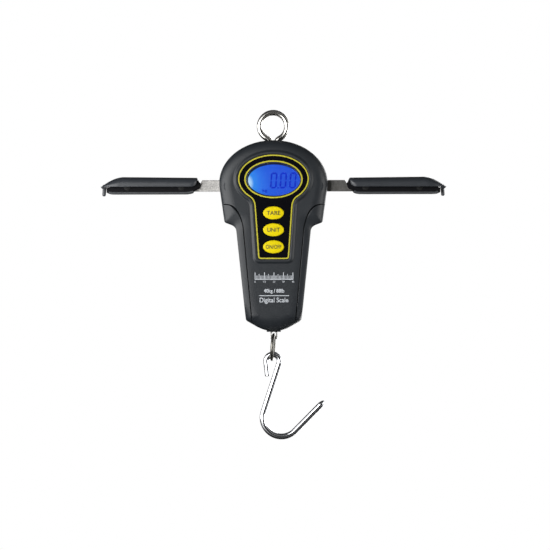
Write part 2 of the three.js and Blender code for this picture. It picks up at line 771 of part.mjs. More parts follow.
place('lcd_window', lcdWindow(), 'clear');
place('lcd_panel', centredPlate(LCD_WIDTH / 2, LCD_HEIGHT / 2, WINDOW_Z, -11.4, -9.2), 'display');
place('backlight_guide', centredPlate(20, 11.6, WINDOW_Z, -8.9, -7), 'white');
place('backlight_led', box([-22, -8.8, -49], [-20.3, -6.9, -45.6]), 'white');
place('zebra_connector', centredPlate(18, 0.8, -60.4, -8.9, -6.9), 'rubber');
place('circuit_board', circuitBoard(), 'board');
place('chip_blob', turned([[0, 0], [3.4, 0], [2.9, 0.7], [1.6, 1.1], [0, 1.2]], 0, 0, 16)
  .rotate([-90, 0, 0]).translate([15, -4.7, -42]), 'black');
place('quartz_crystal', barY(15.5, -52, 1.5, -4.7, -1.2, 14), 'alloy');
place('buzzer', barY(-15.5, -52, 4.5, -4.7, -1.7, 24), 'black');

for (const [name, z] of Object.entries(KEYS)) {
  place(`${name}_key`, key(z), 'yellow');
  place(`${name}_switch`, tactSwitch(z), 'black');
}

place('eye_loop', eyeLoop(), 'chrome');
place('eye_block', eyeBlock(), 'steel');
place('eye_pin', box([-5.5, -0.9, -27.1], [5.5, 0.9, -25.3]), 'steel');
place('load_cell', loadCell(), 'alloy');
place('load_pin_upper', barY(0, -36, 1.5, -4.6, 4.6, 16), 'steel');
place('load_pin_lower', barY(0, -84, 1.3, -2.5, 2.5, 16), 'steel');
place('upper_strain_gauge', box([-7, 2.8, -57], [3.5, 3.1, -52]), 'copper');
place('lower_strain_gauge', box([-3.5, 2.8, -69], [7, 3.1, -65]), 'copper');
place('gauge_ribbon', gaugeRibbon(), 'copper');
place('pull_bar', pullBar(), 'steel');
place('link_ring', linkRing(), 'darkSteel');
place('load_hook', loadHook(), 'chrome');

place('left_battery', battery(-CELL_X, -145.2, false), 'cell');
place('right_battery', battery(CELL_X, -143, true), 'cell');
place('left_battery_spring', batterySpring(-CELL_X, -100.4, -97.4), 'steel');
place('right_battery_spring', batterySpring(CELL_X, -146, -143.3), 'steel');
place('contact_plate', box([-10, 3.4, -146.8], [10, 11.4, -146.3]), 'brass');

SCREWS.forEach(([x, z], row) => {
  const solid = casingScrew(x, z);
  place(`casing_screw_right_${row + 1}`, solid, 'darkSteel');
  place(`casing_screw_left_${row + 1}`, solid.mirror([1, 0, 0]), 'darkSteel');
});

const sides = { left: (solid) => solid.mirror([1, 0, 0]), right: (solid) => solid };
for (const [side, turn] of Object.entries(sides)) {
  place(`${side}_pivot_pin`, turn(pivotPin()), 'steel');
  place(`${side}_pivot_washer`, turn(pivotWasher()), 'brass');
  place(`${side}_strip`, turn(strip()), 'steel');
  place(`${side}_grip_core`, turn(gripCore()), 'black');
  place(`${side}_grip_cover`, turn(gripCover()), 'grip');
  RIVET_X.forEach((x, i) => place(`${side}_rivet_${i + 1}`, turn(rivet(x)), 'steel'));
}

export default scale;
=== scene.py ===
"""Digital fish scale: the looks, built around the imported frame. Metres, +Z up, front towards -Y."""

import json
from math import copysign, cos, pi, radians, sin, sqrt, tan

import bmesh
import bpy
from mathutils import Matrix, Vector

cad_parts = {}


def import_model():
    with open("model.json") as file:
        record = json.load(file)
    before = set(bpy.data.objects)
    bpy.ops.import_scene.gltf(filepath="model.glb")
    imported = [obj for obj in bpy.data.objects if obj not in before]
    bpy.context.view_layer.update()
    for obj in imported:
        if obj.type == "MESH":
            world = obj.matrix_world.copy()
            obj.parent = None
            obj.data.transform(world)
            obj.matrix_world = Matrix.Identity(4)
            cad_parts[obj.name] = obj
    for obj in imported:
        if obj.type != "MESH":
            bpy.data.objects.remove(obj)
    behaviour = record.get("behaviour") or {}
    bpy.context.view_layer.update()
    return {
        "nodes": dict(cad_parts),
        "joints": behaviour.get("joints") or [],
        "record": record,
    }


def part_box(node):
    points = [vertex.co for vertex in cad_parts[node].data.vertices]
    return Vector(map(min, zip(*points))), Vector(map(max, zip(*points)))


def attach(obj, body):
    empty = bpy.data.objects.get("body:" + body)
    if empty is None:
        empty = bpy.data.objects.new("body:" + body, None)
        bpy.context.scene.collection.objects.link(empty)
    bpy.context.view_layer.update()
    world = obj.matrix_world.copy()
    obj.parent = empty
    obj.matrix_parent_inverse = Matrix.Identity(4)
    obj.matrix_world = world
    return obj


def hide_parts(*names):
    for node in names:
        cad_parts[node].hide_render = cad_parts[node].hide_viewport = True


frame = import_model()

MM = 0.001


def mm(*lengths):
    """Lengths in millimetres, as a tuple in metres."""
    return tuple(length * MM for length in lengths)


# ---- Places taken from the frame ----

def low(node, axis):
    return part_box(node)[0][axis]


def high(node, axis):
    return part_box(node)[1][axis]


def middle(node, axis):
    return (low(node, axis) + high(node, axis)) / 2


X, Y, Z = 0, 1, 2
FRONT = low("rear_casing", Y)
BACK = high("rear_casing", Y)
BODY_TOP = high("rear_casing", Z)
BODY_BOTTOM = low("rear_casing", Z)
HEAD_HALF_WIDTH = high("rear_casing", X)
JOINTS = {joint["name"]: joint for joint in frame["joints"]}
PIVOT = Vector(JOINTS["right_fold"]["pos_m"])


# ---- Mesh helpers ----

def add_object(name, data):
    obj = bpy.data.objects.new(name, data)
    bpy.context.scene.collection.objects.link(obj)
    return obj


def new_object(name, verts, faces):
    mesh = bpy.data.meshes.new(name)
    mesh.from_pydata([tuple(v) for v in verts], [], faces)
    mesh.validate()
    return add_object(name, mesh)


def loft(name, rings, closed=False):
    """A skin over rings of equal point count, capped at both ends unless the rings close up."""
    count = len(rings[0])
    verts = [point for ring in rings for point in ring]
    faces = []
    for ring in range(len(rings) if closed else len(rings) - 1):
        start = ring * count
        following = ((ring + 1) % len(rings)) * count
        for i in range(count):
            j = (i + 1) % count
            faces.append((start + i, following + i, following + j, start + j))
    if not closed:
        faces.append(tuple(range(count)))
        faces.append(tuple(reversed(range(len(verts) - count, len(verts)))))
    return new_object(name, verts, faces)


def at_depth(outline, y):
    return [Vector((x, y, z)) for x, z in outline]


def face_outwards(obj):
    """Makes every face point out of its closed body."""
    work = bmesh.new()
    work.from_mesh(obj.data)
    bmesh.ops.recalc_face_normals(work, faces=work.faces)
    work.to_mesh(obj.data)
    work.free()


def evaluated_mesh(obj):
    """The mesh of an object as its modifiers or its curve make it."""
    bpy.context.view_layer.update()
    graph = bpy.context.evaluated_depsgraph_get()
    return bpy.data.meshes.new_from_object(obj.evaluated_get(graph))


def combine(obj, tool, operation="DIFFERENCE"):
    """Joins or cuts obj with tool, and removes the tool."""
    for item in (obj, tool):
        face_outwards(item)
    step = obj.modifiers.new("boolean", "BOOLEAN")
    step.object = tool
    step.operation = operation
    step.solver = "MANIFOLD"
    mesh = evaluated_mesh(obj)
    obj.modifiers.clear()
    obj.data = mesh
    mesh.name = obj.name
    bpy.data.objects.remove(tool)
    return obj


SHARP_ANGLE = radians(32)
FACE_WEIGHT = 90                 # how strongly large faces pull the normals


def shade(obj):
    """Smooth shading with sharp edges kept sharp."""
    obj.data.shade_smooth()
    obj.data.set_sharp_from_angle(angle=SHARP_ANGLE)
    step = obj.modifiers.new("normals", "WEIGHTED_NORMAL")
    step.keep_sharp = True
    step.weight = FACE_WEIGHT


def slab(name, outline, front, back):
    return loft(name, [at_depth(outline, front), at_depth(outline, back)])


def tapered(name, outlines_and_depths):
    return loft(name, [at_depth(outline, y) for outline, y in outlines_and_depths])


def box(name, lowest, highest):
    (x0, y0, z0), (x1, y1, z1) = lowest, highest
    return slab(name, [(x0, z0), (x1, z0), (x1, z1), (x0, z1)], y0, y1)


def ellipse(x, z, semi_x, semi_z, count=96):
    turn = 2 * pi / count
    return [(x + semi_x * cos(i * turn), z + semi_z * sin(i * turn))
            for i in range(count)]


def mirrored(right_half):
    """Completes an outline from its right half, given from the top middle to the bottom middle."""
    left_half = [(-x, z) for x, z in right_half if x > 1e-6]
    return left_half + list(reversed(right_half))


def bezier(start, control, end, count):
    points = []
    for i in range(count + 1):
        t = i / count
        weights = ((1 - t) ** 2, 2 * t * (1 - t), t * t)
        points.append(tuple(
            sum(w * p[axis] for w, p in zip(weights, (start, control, end))) for axis in range(2)
        ))
    return points


def arc(centre, radius, start, end, count):
    """Points on a circle, from one angle in degrees to another."""
    points = []
    for i in range(count + 1):
        angle = radians(start + (end - start) * i / count)
        points.append((centre[0] + radius * cos(angle), centre[1] + radius * sin(angle)))
    return points


def rounded(points, radius, count=6):
    """A closed outline through corner points, each rounded by a radius."""
    outline = []
    for i, corner in enumerate(points):
        here = Vector(corner)
        before = (Vector(points[i - 1]) - here).normalized()
        after = (Vector(points[(i + 1) % len(points)]) - here).normalized()
        reach = radius / tan(before.angle(after) / 2)
        outline += bezier(tuple(here + before * reach), tuple(here),
                          tuple(here + after * reach), count)
    return outline


def quarter_turn(steps):
    """How far a rounded edge reaches in and down, as shares of its radius, from side to face."""
    angles = [radians(90 * i / steps) for i in range(steps + 1)]
    return [(1 - sin(angle), 1 - cos(angle)) for angle in angles]


def mirror_x(obj, name):
    """A copy of obj on the other side of the YZ plane."""
    mesh = obj.data.copy()
    mesh.transform(Matrix.Scale(-1, 4, (1, 0, 0)))
    mesh.flip_normals()
    return add_object(name, mesh)


def tube(name, points, radius_at, sides, closed=False):
    """A round wire along points. radius_at gives the radius for a fraction of the way along."""
    count = len(points)
    tangents = []
    for i in range(count):
        before = points[i - 1] if closed or i > 0 else points[0]
        after = points[(i + 1) % count] if closed or i < count - 1 else points[-1]
        tangents.append((after - before).normalized())
    side = tangents[0].orthogonal().normalized()
    rings = []
    for i, (point, tangent) in enumerate(zip(points, tangents)):
        side = (side - tangent * side.dot(tangent)).normalized()
        other = tangent.cross(side)
        radius = radius_at(i / max(1, count - 1))
        turn = 2 * pi / sides
        rings.append([
            point + radius * (cos(k * turn) * side + sin(k * turn) * other)
            for k in range(sides)
        ])
    return loft(name, rings, closed)


def resample(points, step):
    """Points evenly spaced along a line through the given points."""
    lengths = [0.0]
    for a, b in zip(points, points[1:]):
        lengths.append(lengths[-1] + (b - a).length)
    count = max(2, round(lengths[-1] / step))
    result = []
    segment = 0
    for i in range(count + 1):
        wanted = lengths[-1] * i / count
        while segment < len(points) - 2 and lengths[segment + 1] < wanted:
            segment += 1
        span = lengths[segment + 1] - lengths[segment]
        t = 0 if span == 0 else (wanted - lengths[segment]) / span
        result.append(points[segment].lerp(points[segment + 1], t))
    return result


# ---- Materials ----

MATERIALS = {}
COAT_ROUGHNESS = 0.1
LEAST_ROUGHNESS = 0.02


def feed(tree, node, inputs):
    """Sets a node's inputs by name or number, from values or from other nodes' outputs."""
    for key, value in inputs.items():
        if isinstance(value, bpy.types.NodeSocket):
            tree.links.new(value, node.inputs[key])
        else:
            node.inputs[key].default_value = value


def add_node(tree, kind, inputs, **settings):
    node = tree.nodes.new(f"ShaderNode{kind}")
    for key, value in settings.items():
        setattr(node, key, value)
    feed(tree, node, inputs)
    return node


def color_ramp(tree, factor, stops):
    """A ramp through (position, colour) stops."""
    ramp = add_node(tree, "ValToRGB", {"Fac": factor})
    elements = ramp.color_ramp.elements
    while len(elements) < len(stops):
        elements.new(0.5)
    for element, (position, color) in zip(elements, stops):
        element.position = position
        element.color = (*color, 1)
    return ramp.outputs["Color"]


def new_material(name):
    made = bpy.data.materials.new(name)
    made.use_nodes = True
    MATERIALS[name] = made
    return made.node_tree, made.node_tree.nodes["Principled BSDF"]


def material(name, color, roughness, metallic=0.0, mottle=0.1, mottle_size=0.004, grain=0.0002,
             bump=0.15, bump_depth=0.00005, rough_spread=0.08, stretch=(1, 1, 1), coat=0.0,
             specular=0.5, transmission=0.0, emission=0.0):
    """A moulded, rolled or printed surface: broad colour mottle, uneven gloss and a fine bump."""
    tree, shader = new_material(name)
    where = add_node(tree, "TexCoord", {}).outputs["Object"]
    spread = add_node(tree, "Mapping", {"Vector": where, "Scale": stretch}).outputs["Vector"]
    broad = add_node(tree, "TexNoise", {"Vector": spread, "Scale": 1 / mottle_size, "Detail": 4})
    tint = color_ramp(tree, broad.outputs["Fac"], (
        (0.3, [c * (1 - mottle) for c in color]),
        (0.7, [min(1, c * (1 + mottle)) for c in color]),
    ))
    gloss = add_node(tree, "MapRange", {
        "Value": broad.outputs["Fac"],
        "To Min": max(LEAST_ROUGHNESS, roughness - rough_spread),
        "To Max": min(1, roughness + rough_spread),
    })
    fine = add_node(tree, "TexNoise", {"Vector": spread, "Scale": 1 / grain, "Detail": 2})
    relief = add_node(tree, "Bump", {
        "Height": fine.outputs["Fac"], "Strength": bump, "Distance": bump_depth,
    })
    feed(tree, shader, {
        "Base Color": tint, "Roughness": gloss.outputs["Result"],
        "Normal": relief.outputs["Normal"], "Metallic": metallic, "Specular IOR Level": specular,
        "Coat Weight": coat, "Coat Roughness": COAT_ROUGHNESS, "Transmission Weight": transmission,
    })
    if emission:
        feed(tree, shader, {"Emission Color": tint, "Emission Strength": emission})


material("casing", (0.0120, 0.0146, 0.0178), 0.44, mottle=0.05, grain=0.0005, bump=0.35,
         bump_depth=0.00006, rough_spread=0.04, specular=0.38)
material("fascia", (0.003, 0.003, 0.004), 0.12, bump=0.02, rough_spread=0.03, specular=0.12)
material("lens", (0.95, 0.97, 1.0), 0.04, mottle=0.01, bump=0.01, rough_spread=0.01,
         transmission=1.0, specular=0.05)
# Near black: a dark window mask, and painted shade in the window recess.
material("hood_and_shade", (0.006, 0.006, 0.007), 0.5, bump=0.1)
material("digits", (0.003, 0.017, 0.36), 0.5, mottle=0.05, specular=0.1, emission=0.85)
material("line", (0.40, 0.36, 0.028), 0.4, specular=0.2, mottle=0.08, grain=0.0003, bump=0.1)
material("key", (0.60, 0.48, 0.001), 0.42, specular=0.12, mottle=0.03, grain=0.0004, bump=0.12,
         bump_depth=0.00003, rough_spread=0.03)
material("key_print", (0.008, 0.008, 0.005), 0.5)
material("print", (0.42, 0.44, 0.47), 0.5, mottle=0.12, mottle_size=0.0008)
for name, color, roughness in (("chrome", (0.64, 0.65, 0.67), 0.15),
                               ("eye_steel", (0.60, 0.59, 0.56), 0.17)):
    material(name, color, roughness, 1.0, mottle=0.05, grain=0.0012, bump=0.03,
             bump_depth=0.00001, rough_spread=0.04)
material("ring_steel", (0.15, 0.145, 0.13), 0.36, 1.0, mottle=0.2, mottle_size=0.0015)
# Lit and shaded copies of the arm steel: the lighter one is a painted highlight for the left arm, the
# darker one is painted shade for the right arm.
for name, color, roughness, mottle in (("arm_steel_lit", (0.42, 0.41, 0.395), 0.48, 0.3),
                                       ("arm_steel_shaded", (0.20, 0.195, 0.185), 0.4, 0.16)):
    material(name, color, roughness, 1.0, mottle, mottle_size=0.0012, grain=0.0003, bump=0.5,
             rough_spread=0.1)
material("steel", (0.72, 0.71, 0.69), 0.3, 1.0, rough_spread=0.1, stretch=(1, 1, 0.15))
material("grip", (0.022, 0.025, 0.030), 0.42, mottle=0.06, grain=0.0005, bump=0.3,
         rough_spread=0.05)
# The rim is painted lighter than the grip cover: a painted highlight where it catches the light.
material("grip_rim", (0.045, 0.048, 0.052), 0.42, mottle=0.06, grain=0.0005, bump=0.3)
# The core is painted near black: painted shade in the recess under the cover.
material("grip_core", (0.004, 0.004, 0.005), 0.6, bump=0.2, specular=0.08)
# The rivets are painted near black: painted shade, as their heads sit in the shaded recess.
material("rivet", (0.006, 0.006, 0.006), 0.6, mottle=0.2, specular=0.2)
material("board", (0.02, 0.14, 0.05), 0.35, mottle=0.3, mottle_size=0.0015)
material("component", (0.012, 0.012, 0.014), 0.45, mottle=0.2)
material("diffuser", (0.8, 0.82, 0.85), 0.4, mottle=0.03)
material("elastomer", (0.03, 0.03, 0.035), 0.75, mottle=0.2, mottle_size=0.0005)
material("alloy", (0.62, 0.63, 0.65), 0.38, 1.0, mottle=0.08, stretch=(0.1, 1, 1), grain=0.0003,
         bump=0.3)
material("brass", (0.66, 0.47, 0.19), 0.3, 1.0)
material("flex", (0.4, 0.17, 0.04), 0.3)
material("cell_wrap", (0.03, 0.08, 0.26), 0.25, mottle=0.08, coat=0.4)
material("screw", (0.1, 0.1, 0.1), 0.4, 1.0, mottle=0.2)


# The colour sockets of a Mix node, which shares socket names between its data types
MIX_A, MIX_B, MIX_RESULT = 6, 7, 2

# The panel's light: distance from its lamp as a share of LAMP_REACH, and the colour there.
LAMP_REACH = 26 * MM
LAMP_LIGHT = (
    (0.03, (0.62, 0.84, 1.0)), (0.11, (0.40, 0.68, 1.0)), (0.18, (0.035, 0.28, 0.90)),
    (0.38, (0.026, 0.175, 0.83)), (0.62, (0.018, 0.11, 0.75)), (1.0, (0.016, 0.083, 0.70)),
)


def display_material():
    """A blue backlit panel, palest at its left end where the lamp sits."""
    tree, shader = new_material("display")
    lowest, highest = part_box("lcd_panel")
    where = add_node(tree, "TexCoord", {}).outputs["Object"]
    around_lamp = add_node(tree, "Mapping", {
        "Vector": where,
        "Location": (lowest.x + 1.7 * MM, lowest.y, (lowest.z + highest.z) / 2 - 1.9 * MM),
        "Rotation": (0, radians(-14), 0),
        "Scale": (1, 1, 1.5),
    }, vector_type="TEXTURE").outputs["Vector"]
    distance = add_node(tree, "VectorMath", {0: around_lamp}, operation="LENGTH")
    reach = add_node(tree, "MapRange", {"Value": distance.outputs["Value"], "From Max": LAMP_REACH})
    lit = color_ramp(tree, reach.outputs["Result"], LAMP_LIGHT)
    grain = add_node(tree, "TexNoise", {"Vector": where, "Scale": 900}).outputs["Fac"]
    shaded = add_node(tree, "Mix", {"Factor": 0.12, MIX_A: lit, MIX_B: grain},
                      data_type="RGBA", blend_type="MULTIPLY")
    feed(tree, shader, {
        "Emission Color": shaded.outputs[MIX_RESULT], "Emission Strength": 1.0,
        "Base Color": (0.01, 0.03, 0.1, 1), "Roughness": 0.35, "Specular IOR Level": 0.1,
    })


display_material()


def paint(obj, name):
    obj.data.materials.clear()
    obj.data.materials.append(MATERIALS[name])


def settle(obj, slot, surface, replaces=(), body="housing"):
    """Gives a finished piece its material and the body it moves with, and hides the frame parts it
    stands for.
    """
    face_outwards(obj)
    paint(obj, surface)
    shade(obj)
    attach(obj, body)
    if replaces:
        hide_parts(*replaces)
    return obj


# ---- Housing outlines ----

HEAD_HALF_HEIGHT = 31.6 * MM
HEAD_Z = BODY_TOP - HEAD_HALF_HEIGHT
SHOULDER = mm(36.2, -79.4)
WAIST = mm(27.4, -85.6)
TOE = mm(20.5, -151.6)
HEEL = mm(14.6, -154.9)
TAIL = -159.5 * MM
EDGE_RUN = 9 * MM                # how far the rounded edge reaches in over the front and back
EDGE_DROP = 6.5 * MM             # and how far it reaches down the sides
TAIL_SLOPE = 1.35                # how much further the front and back curve in at the lower end
WALL = 2 * MM
SEAM = 0.3 * MM
SEAM_LIP = 0.2 * MM
SEAM_DEPTH = 2.6 * MM
RAIL_CHAMFER = mm(0.65, 0.5)     # width and depth
TONGUE_CHAMFER = mm(0.35, 0.3)
SIDE_STEPS = 14                  # points down each side, which the front's roll needs
HEAD_SWEEP = 95.6                # degrees from the top to where the head meets the shoulder


def body_outline(inset, steps):
    """The housing's outline in the XZ plane, moved inwards by an inset."""
    right = []
    for i in range(steps + 1):
        angle = radians(90 - HEAD_SWEEP * i / steps)
        right.append(((HEAD_HALF_WIDTH - inset) * cos(angle),
                      HEAD_Z + (HEAD_HALF_HEIGHT - inset) * sin(angle)))

    def moved(x, z, rise=1.0):
        return x - inset, z + rise * inset

    few = max(2, steps // 8)
    corner = moved(*SHOULDER)
    right += bezier((corner[0] + 0.15 * MM, corner[1] + 1.7 * MM), corner,
                    (corner[0] - 1.6 * MM, corner[1] - 0.45 * MM), few)
    right += bezier(moved(SHOULDER[0] - 4.4 * MM, SHOULDER[1] - 1.5 * MM),
                    moved(WAIST[0] + 0.4 * MM, SHOULDER[1] - 2.8 * MM), moved(*WAIST), 2 * few)
    toe = moved(*TOE, rise=0.6)
    waist = Vector(right[-1])
    right += [tuple(waist.lerp(Vector(toe), i / SIDE_STEPS)) for i in range(1, SIDE_STEPS)]
    right += bezier((toe[0] + 0.14 * MM, toe[1] + 1.4 * MM), toe,
                    (toe[0] - 1.4 * MM, toe[1] - 0.75 * MM), few)
    bottom = TAIL + TAIL_SLOPE * inset
    right += bezier((HEEL[0] - 0.6 * inset, HEEL[1] + inset), (HEEL[0] / 2, bottom), (0, bottom),
                    2 * few)
    return mirrored(right)


# Height and how deep the front's rounded edge is there, as a share of EDGE_DROP.
FRONT_ROLL = ((-70 * MM, 1.0), (-90 * MM, 0.26), (-141 * MM, 0.26), (-154 * MM, 1.75))


def front_roll(z):
    """The share of EDGE_DROP at a height, easing from each entry of FRONT_ROLL to the next."""
    if z >= FRONT_ROLL[0][0]:
        return FRONT_ROLL[0][1]
    for (upper, share), (lower, next_share) in zip(FRONT_ROLL, FRONT_ROLL[1:]):
        if z > lower:
            along = (upper - z) / (upper - lower)
            return share + (next_share - share) * along * along * (3 - 2 * along)
    return FRONT_ROLL[-1][1]


def body_block(name, shrink=0.0, edge_steps=18, steps=44):
    """The housing's whole form, moved inwards: a flat face that rolls over into the sides."""
    front = [(body_outline(shrink + (EDGE_RUN - shrink) * reach, steps),
              FRONT + shrink + (EDGE_DROP - shrink) * drop)
             for reach, drop in quarter_turn(edge_steps)]
    back = [(outline, -y) for outline, y in reversed(front)]
    block = tapered(name, front + back)
    for vertex in block.data.vertices:
        if vertex.co.y < 0:
            vertex.co.y = FRONT + (vertex.co.y - FRONT) * front_roll(vertex.co.z)
    return block


def side_x(z):
    return WAIST[0] - (WAIST[0] - TOE[0]) / (WAIST[1] - TOE[1]) * (WAIST[1] - z)


SEAM_TOP = -65.9 * MM
TONGUE_TOP = mm(22, -84.4)
TONGUE_TOE = mm(15.7, -154.4)
OUTSIDE = 60 * MM
AHEAD = -30 * MM                 # in front of everything, where cutting tools start


def front_region(offset):
    """The outline of what the front casing covers, grown by an offset."""
    right = [(0, 0), (OUTSIDE, 0), (OUTSIDE, SEAM_TOP - offset)]
    right += bezier((34.6 * MM + offset, SEAM_TOP - offset),
                    (24.8 * MM + offset, SEAM_TOP - 0.7 * MM - offset),
                    (TONGUE_TOP[0] + offset, TONGUE_TOP[1]), 20)
    right += [(TONGUE_TOE[0] + offset, TONGUE_TOE[1]), (TONGUE_TOE[0] + offset, TAIL - 5 * MM),
              (0, TAIL - 5 * MM)]
    return mirrored(right)


WINDOW = Vector((middle("lcd_window", X), 0, middle("lcd_window", Z)))
WINDOW_SEMI = mm(20, 12.5)
WINDOW_STEPS = 128
FASCIA_Z = WINDOW.z + 0.3 * MM
FASCIA_SEMI = mm(26.2, 18.1)
FASCIA_SWEEP = 138               # degrees of the ellipse on each side, from its top
FASCIA_NECK = mm(14.2, -67)
FASCIA_FOOT = (11.5 * MM, low("fascia_overlay", Z))
FASCIA_FRONT = low("fascia_overlay", Y)
FASCIA_BACK = high("fascia_overlay", Y)


def window_ellipse(grow, count=WINDOW_STEPS):
    return ellipse(WINDOW.x, WINDOW.z, WINDOW_SEMI[0] + grow, WINDOW_SEMI[1] + grow, count)


def keyhole(offset):
    """The fascia's outline, grown by an offset."""
    right = []
    steps = 60
    for i in range(steps + 1):
        angle = radians(90 - FASCIA_SWEEP * i / steps)
        right.append(((FASCIA_SEMI[0] + offset) * cos(angle),
                      FASCIA_Z + (FASCIA_SEMI[1] + offset) * sin(angle)))
    neck = (FASCIA_NECK[0] + offset, FASCIA_NECK[1])
    right += bezier(right[-1], (neck[0] + 0.6 * MM, neck[1] + 4.2 * MM - offset / 2), neck, 10)[1:]
    foot = (FASCIA_FOOT[0] + offset, FASCIA_FOOT[1] - offset)
    corner = max(1.0 * MM, 2.3 * MM + 0.8 * offset)
    right += bezier((foot[0] + corner * 0.07, foot[1] + corner), foot,
                    (foot[0] - corner, foot[1]), 6)
    right.append((0, foot[1]))
    return mirrored(right)


KEY_NAMES = ("tare", "unit", "power")
KEY_SEMI = mm(7.65, 4.8)
KEY_Z = {name: middle(f"{name}_key", Z) for name in KEY_NAMES}
KEY_FRONT = low("tare_key", Y)


def key_ellipse(z, grow=0.0):
    return ellipse(0, z, KEY_SEMI[0] + grow, KEY_SEMI[1] + grow)


def handle_room(name, grow=0.0):
    """The room for the right-hand handle when it is folded: side groove and shoulder pockets."""
    groove_top, groove_end = WAIST[1] + 3 * MM, -149 * MM - grow
    depth = 7.3 * MM + grow
    half = 5.8 * MM + grow
    room = slab(name, [
        (side_x(groove_top) - depth, groove_top), (side_x(groove_end) - depth, groove_end),
        (OUTSIDE, groove_end), (OUTSIDE, groove_top),
    ], -half, half)
    nose = box("nose_room", (20.6 * MM - grow, -half, WAIST[1]),
               (OUTSIDE, half, -73.2 * MM + grow))
    wide = 10.3 * MM + grow
    cover = box("cover_room", (27.6 * MM - grow, -wide, WAIST[1]),
                (OUTSIDE, wide, -75.2 * MM + grow))
    combine(room, nose, "UNION")
    return combine(room, cover, "UNION")


def on_both_sides(obj, make, operation="DIFFERENCE"):
    """Joins or cuts obj with a right-hand tool and with its mirror image."""
    tool = make()
    other = mirror_x(tool, "mirrored_tool")
    combine(obj, tool, operation)
    combine(obj, other, operation)


def turned(name, x, z, sections, count=40):
    """A round body about a line along Y, through (radius, depth) sections."""
    return tapered(name, [(ellipse(x, z, radius, radius, count), y) for radius, y in sections])


def bar_y(name, x, z, radius, front, back, count=40):
    return turned(name, x, z, [(radius, front), (radius, back)], count)


def joined(pieces):
    """One piece made of several overlapping ones, which are made one by one."""
    whole = next(pieces)
    for piece in pieces:
        combine(whole, piece, "UNION")
    return whole


SCREWS = [(middle(node, X), middle(node, Z))
          for node in (f"casing_screw_right_{number}" for number in (1, 2, 3))]
PIVOT_BOSS = 5 * MM
PIVOT_HOLE = 2.3 * MM
CAVITY_STEPS = (4, 24)           # edge and outline steps of the forms that stay inside


def hollow_and_open(casing, inward):
    """Cuts what both casings share: the cavity, the eye's and bar's ways out, and the pin holes."""
    combine(casing, body_block("cavity", WALL, *CAVITY_STEPS))
    combine(casing, box("eye_way", mm(-5.7, -2.6, -23), (5.7 * MM, 2.6 * MM, BODY_TOP + 3 * MM)))
    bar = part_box("pull_bar")
    combine(casing, box("bar_way", (bar[0].x - 0.5 * MM, bar[0].y - 0.5 * MM, TAIL - 2 * MM),
                        (bar[1].x + 0.5 * MM, bar[1].y + 0.5 * MM, TAIL + 6 * MM)))
    outer = inward * (BACK - WALL / 2)
    on_both_sides(casing, lambda: bar_y("boss", PIVOT.x, PIVOT.z, PIVOT_BOSS,
                                        *sorted((inward * 2.2 * MM, outer))), "UNION")
    reach = sorted((inward * SEAM / 2, outer))
    radius = (3 if inward < 0 else 4) * MM

    def post(x, z):
        limit = body_block("post_limit", WALL / 2, 6, 24)
        return combine(bar_y("post", x, z, radius, *reach), limit, "INTERSECT")

    for x, z in SCREWS:
        on_both_sides(casing, lambda: post(x, z), "UNION")
    on_both_sides(casing, lambda: bar_y("pin_hole", PIVOT.x, PIVOT.z, PIVOT_HOLE,
                                        *sorted((inward * 2 * MM, inward * 12 * MM))))


def cut_slots(casing):
    """Cuts the slots that the arms swing through."""
    top = high("right_strip", Z) + 0.35 * MM
    on_both_sides(casing, lambda: box("slot", mm(25.2, -1.6, -84), (OUTSIDE, 1.6 * MM, top)))


def body_with_collar(name):
    """The body's block with the short collar that the pull bar comes out of."""
    block = body_block(name)
    collar = box("collar", (*mm(-5.2, -3.6), BODY_BOTTOM), (*mm(5.2, 3.6), TAIL + 3 * MM))
    return combine(block, collar, "UNION")


def seam_wall(name, offset, side, chamfer, end):
    """What the front casing covers, grown by an offset, with a lip and a chamfer at the front."""
    width, depth = chamfer
    lip = offset + side * SEAM_LIP
    return tapered(name, [
        (front_region(lip + side * width), AHEAD),
        (front_region(lip + side * width), FRONT),
        (front_region(lip), FRONT + depth),
        (front_region(lip), FRONT + SEAM_DEPTH),
        (front_region(offset), FRONT + SEAM_DEPTH + SEAM_LIP),
        (front_region(offset), end),
    ])


CUT_FRONT = -20 * MM             # where cuts through the front start
SCREW_WAY = 1.7 * MM


def cut_openings(plate, window, key_gap, reach):
    """Cuts the window and the three key holes, through a depth."""
    combine(plate, slab("window_cut", window, *reach))
    for z in KEY_Z.values():
        combine(plate, slab("key_cut", key_ellipse(z, key_gap), *reach))


def front_casing():
    casing = body_with_collar("front_casing_shell")
    combine(casing, seam_wall("front_region", 0, -1, TONGUE_CHAMFER, -SEAM / 2), "INTERSECT")
    hollow_and_open(casing, -1)
    bezel_front = low("front_casing", Y)
    bezel = tapered("bezel", [
        (keyhole(1.5 * MM), bezel_front),
        (keyhole(1.9 * MM), bezel_front + 0.12 * MM),
        (keyhole(2.2 * MM), bezel_front + 0.4 * MM),
        (keyhole(2.9 * MM), FRONT - 0.25 * MM),
        (keyhole(3.5 * MM), FRONT),
        (keyhole(3.5 * MM), FRONT + WALL / 2),
    ])
    combine(casing, bezel, "UNION")
    combine(casing, tapered("recess", [
        (keyhole(1.0 * MM), CUT_FRONT),
        (keyhole(1.0 * MM), bezel_front - 0.01 * MM),
        (keyhole(0.3 * MM), bezel_front + 0.35 * MM),
        (keyhole(0.3 * MM), FRONT - 0.7 * MM),
    ]))
    cut_openings(casing, window_ellipse(SEAM, 96), 0.35 * MM, (CUT_FRONT, -12 * MM))
    for x, z in SCREWS:
        on_both_sides(casing, lambda: bar_y("screw_cut", x, z, SCREW_WAY, *mm(-10, 1)))
    cut_slots(casing)
    return settle(casing, "casing", "casing", ["front_casing"])


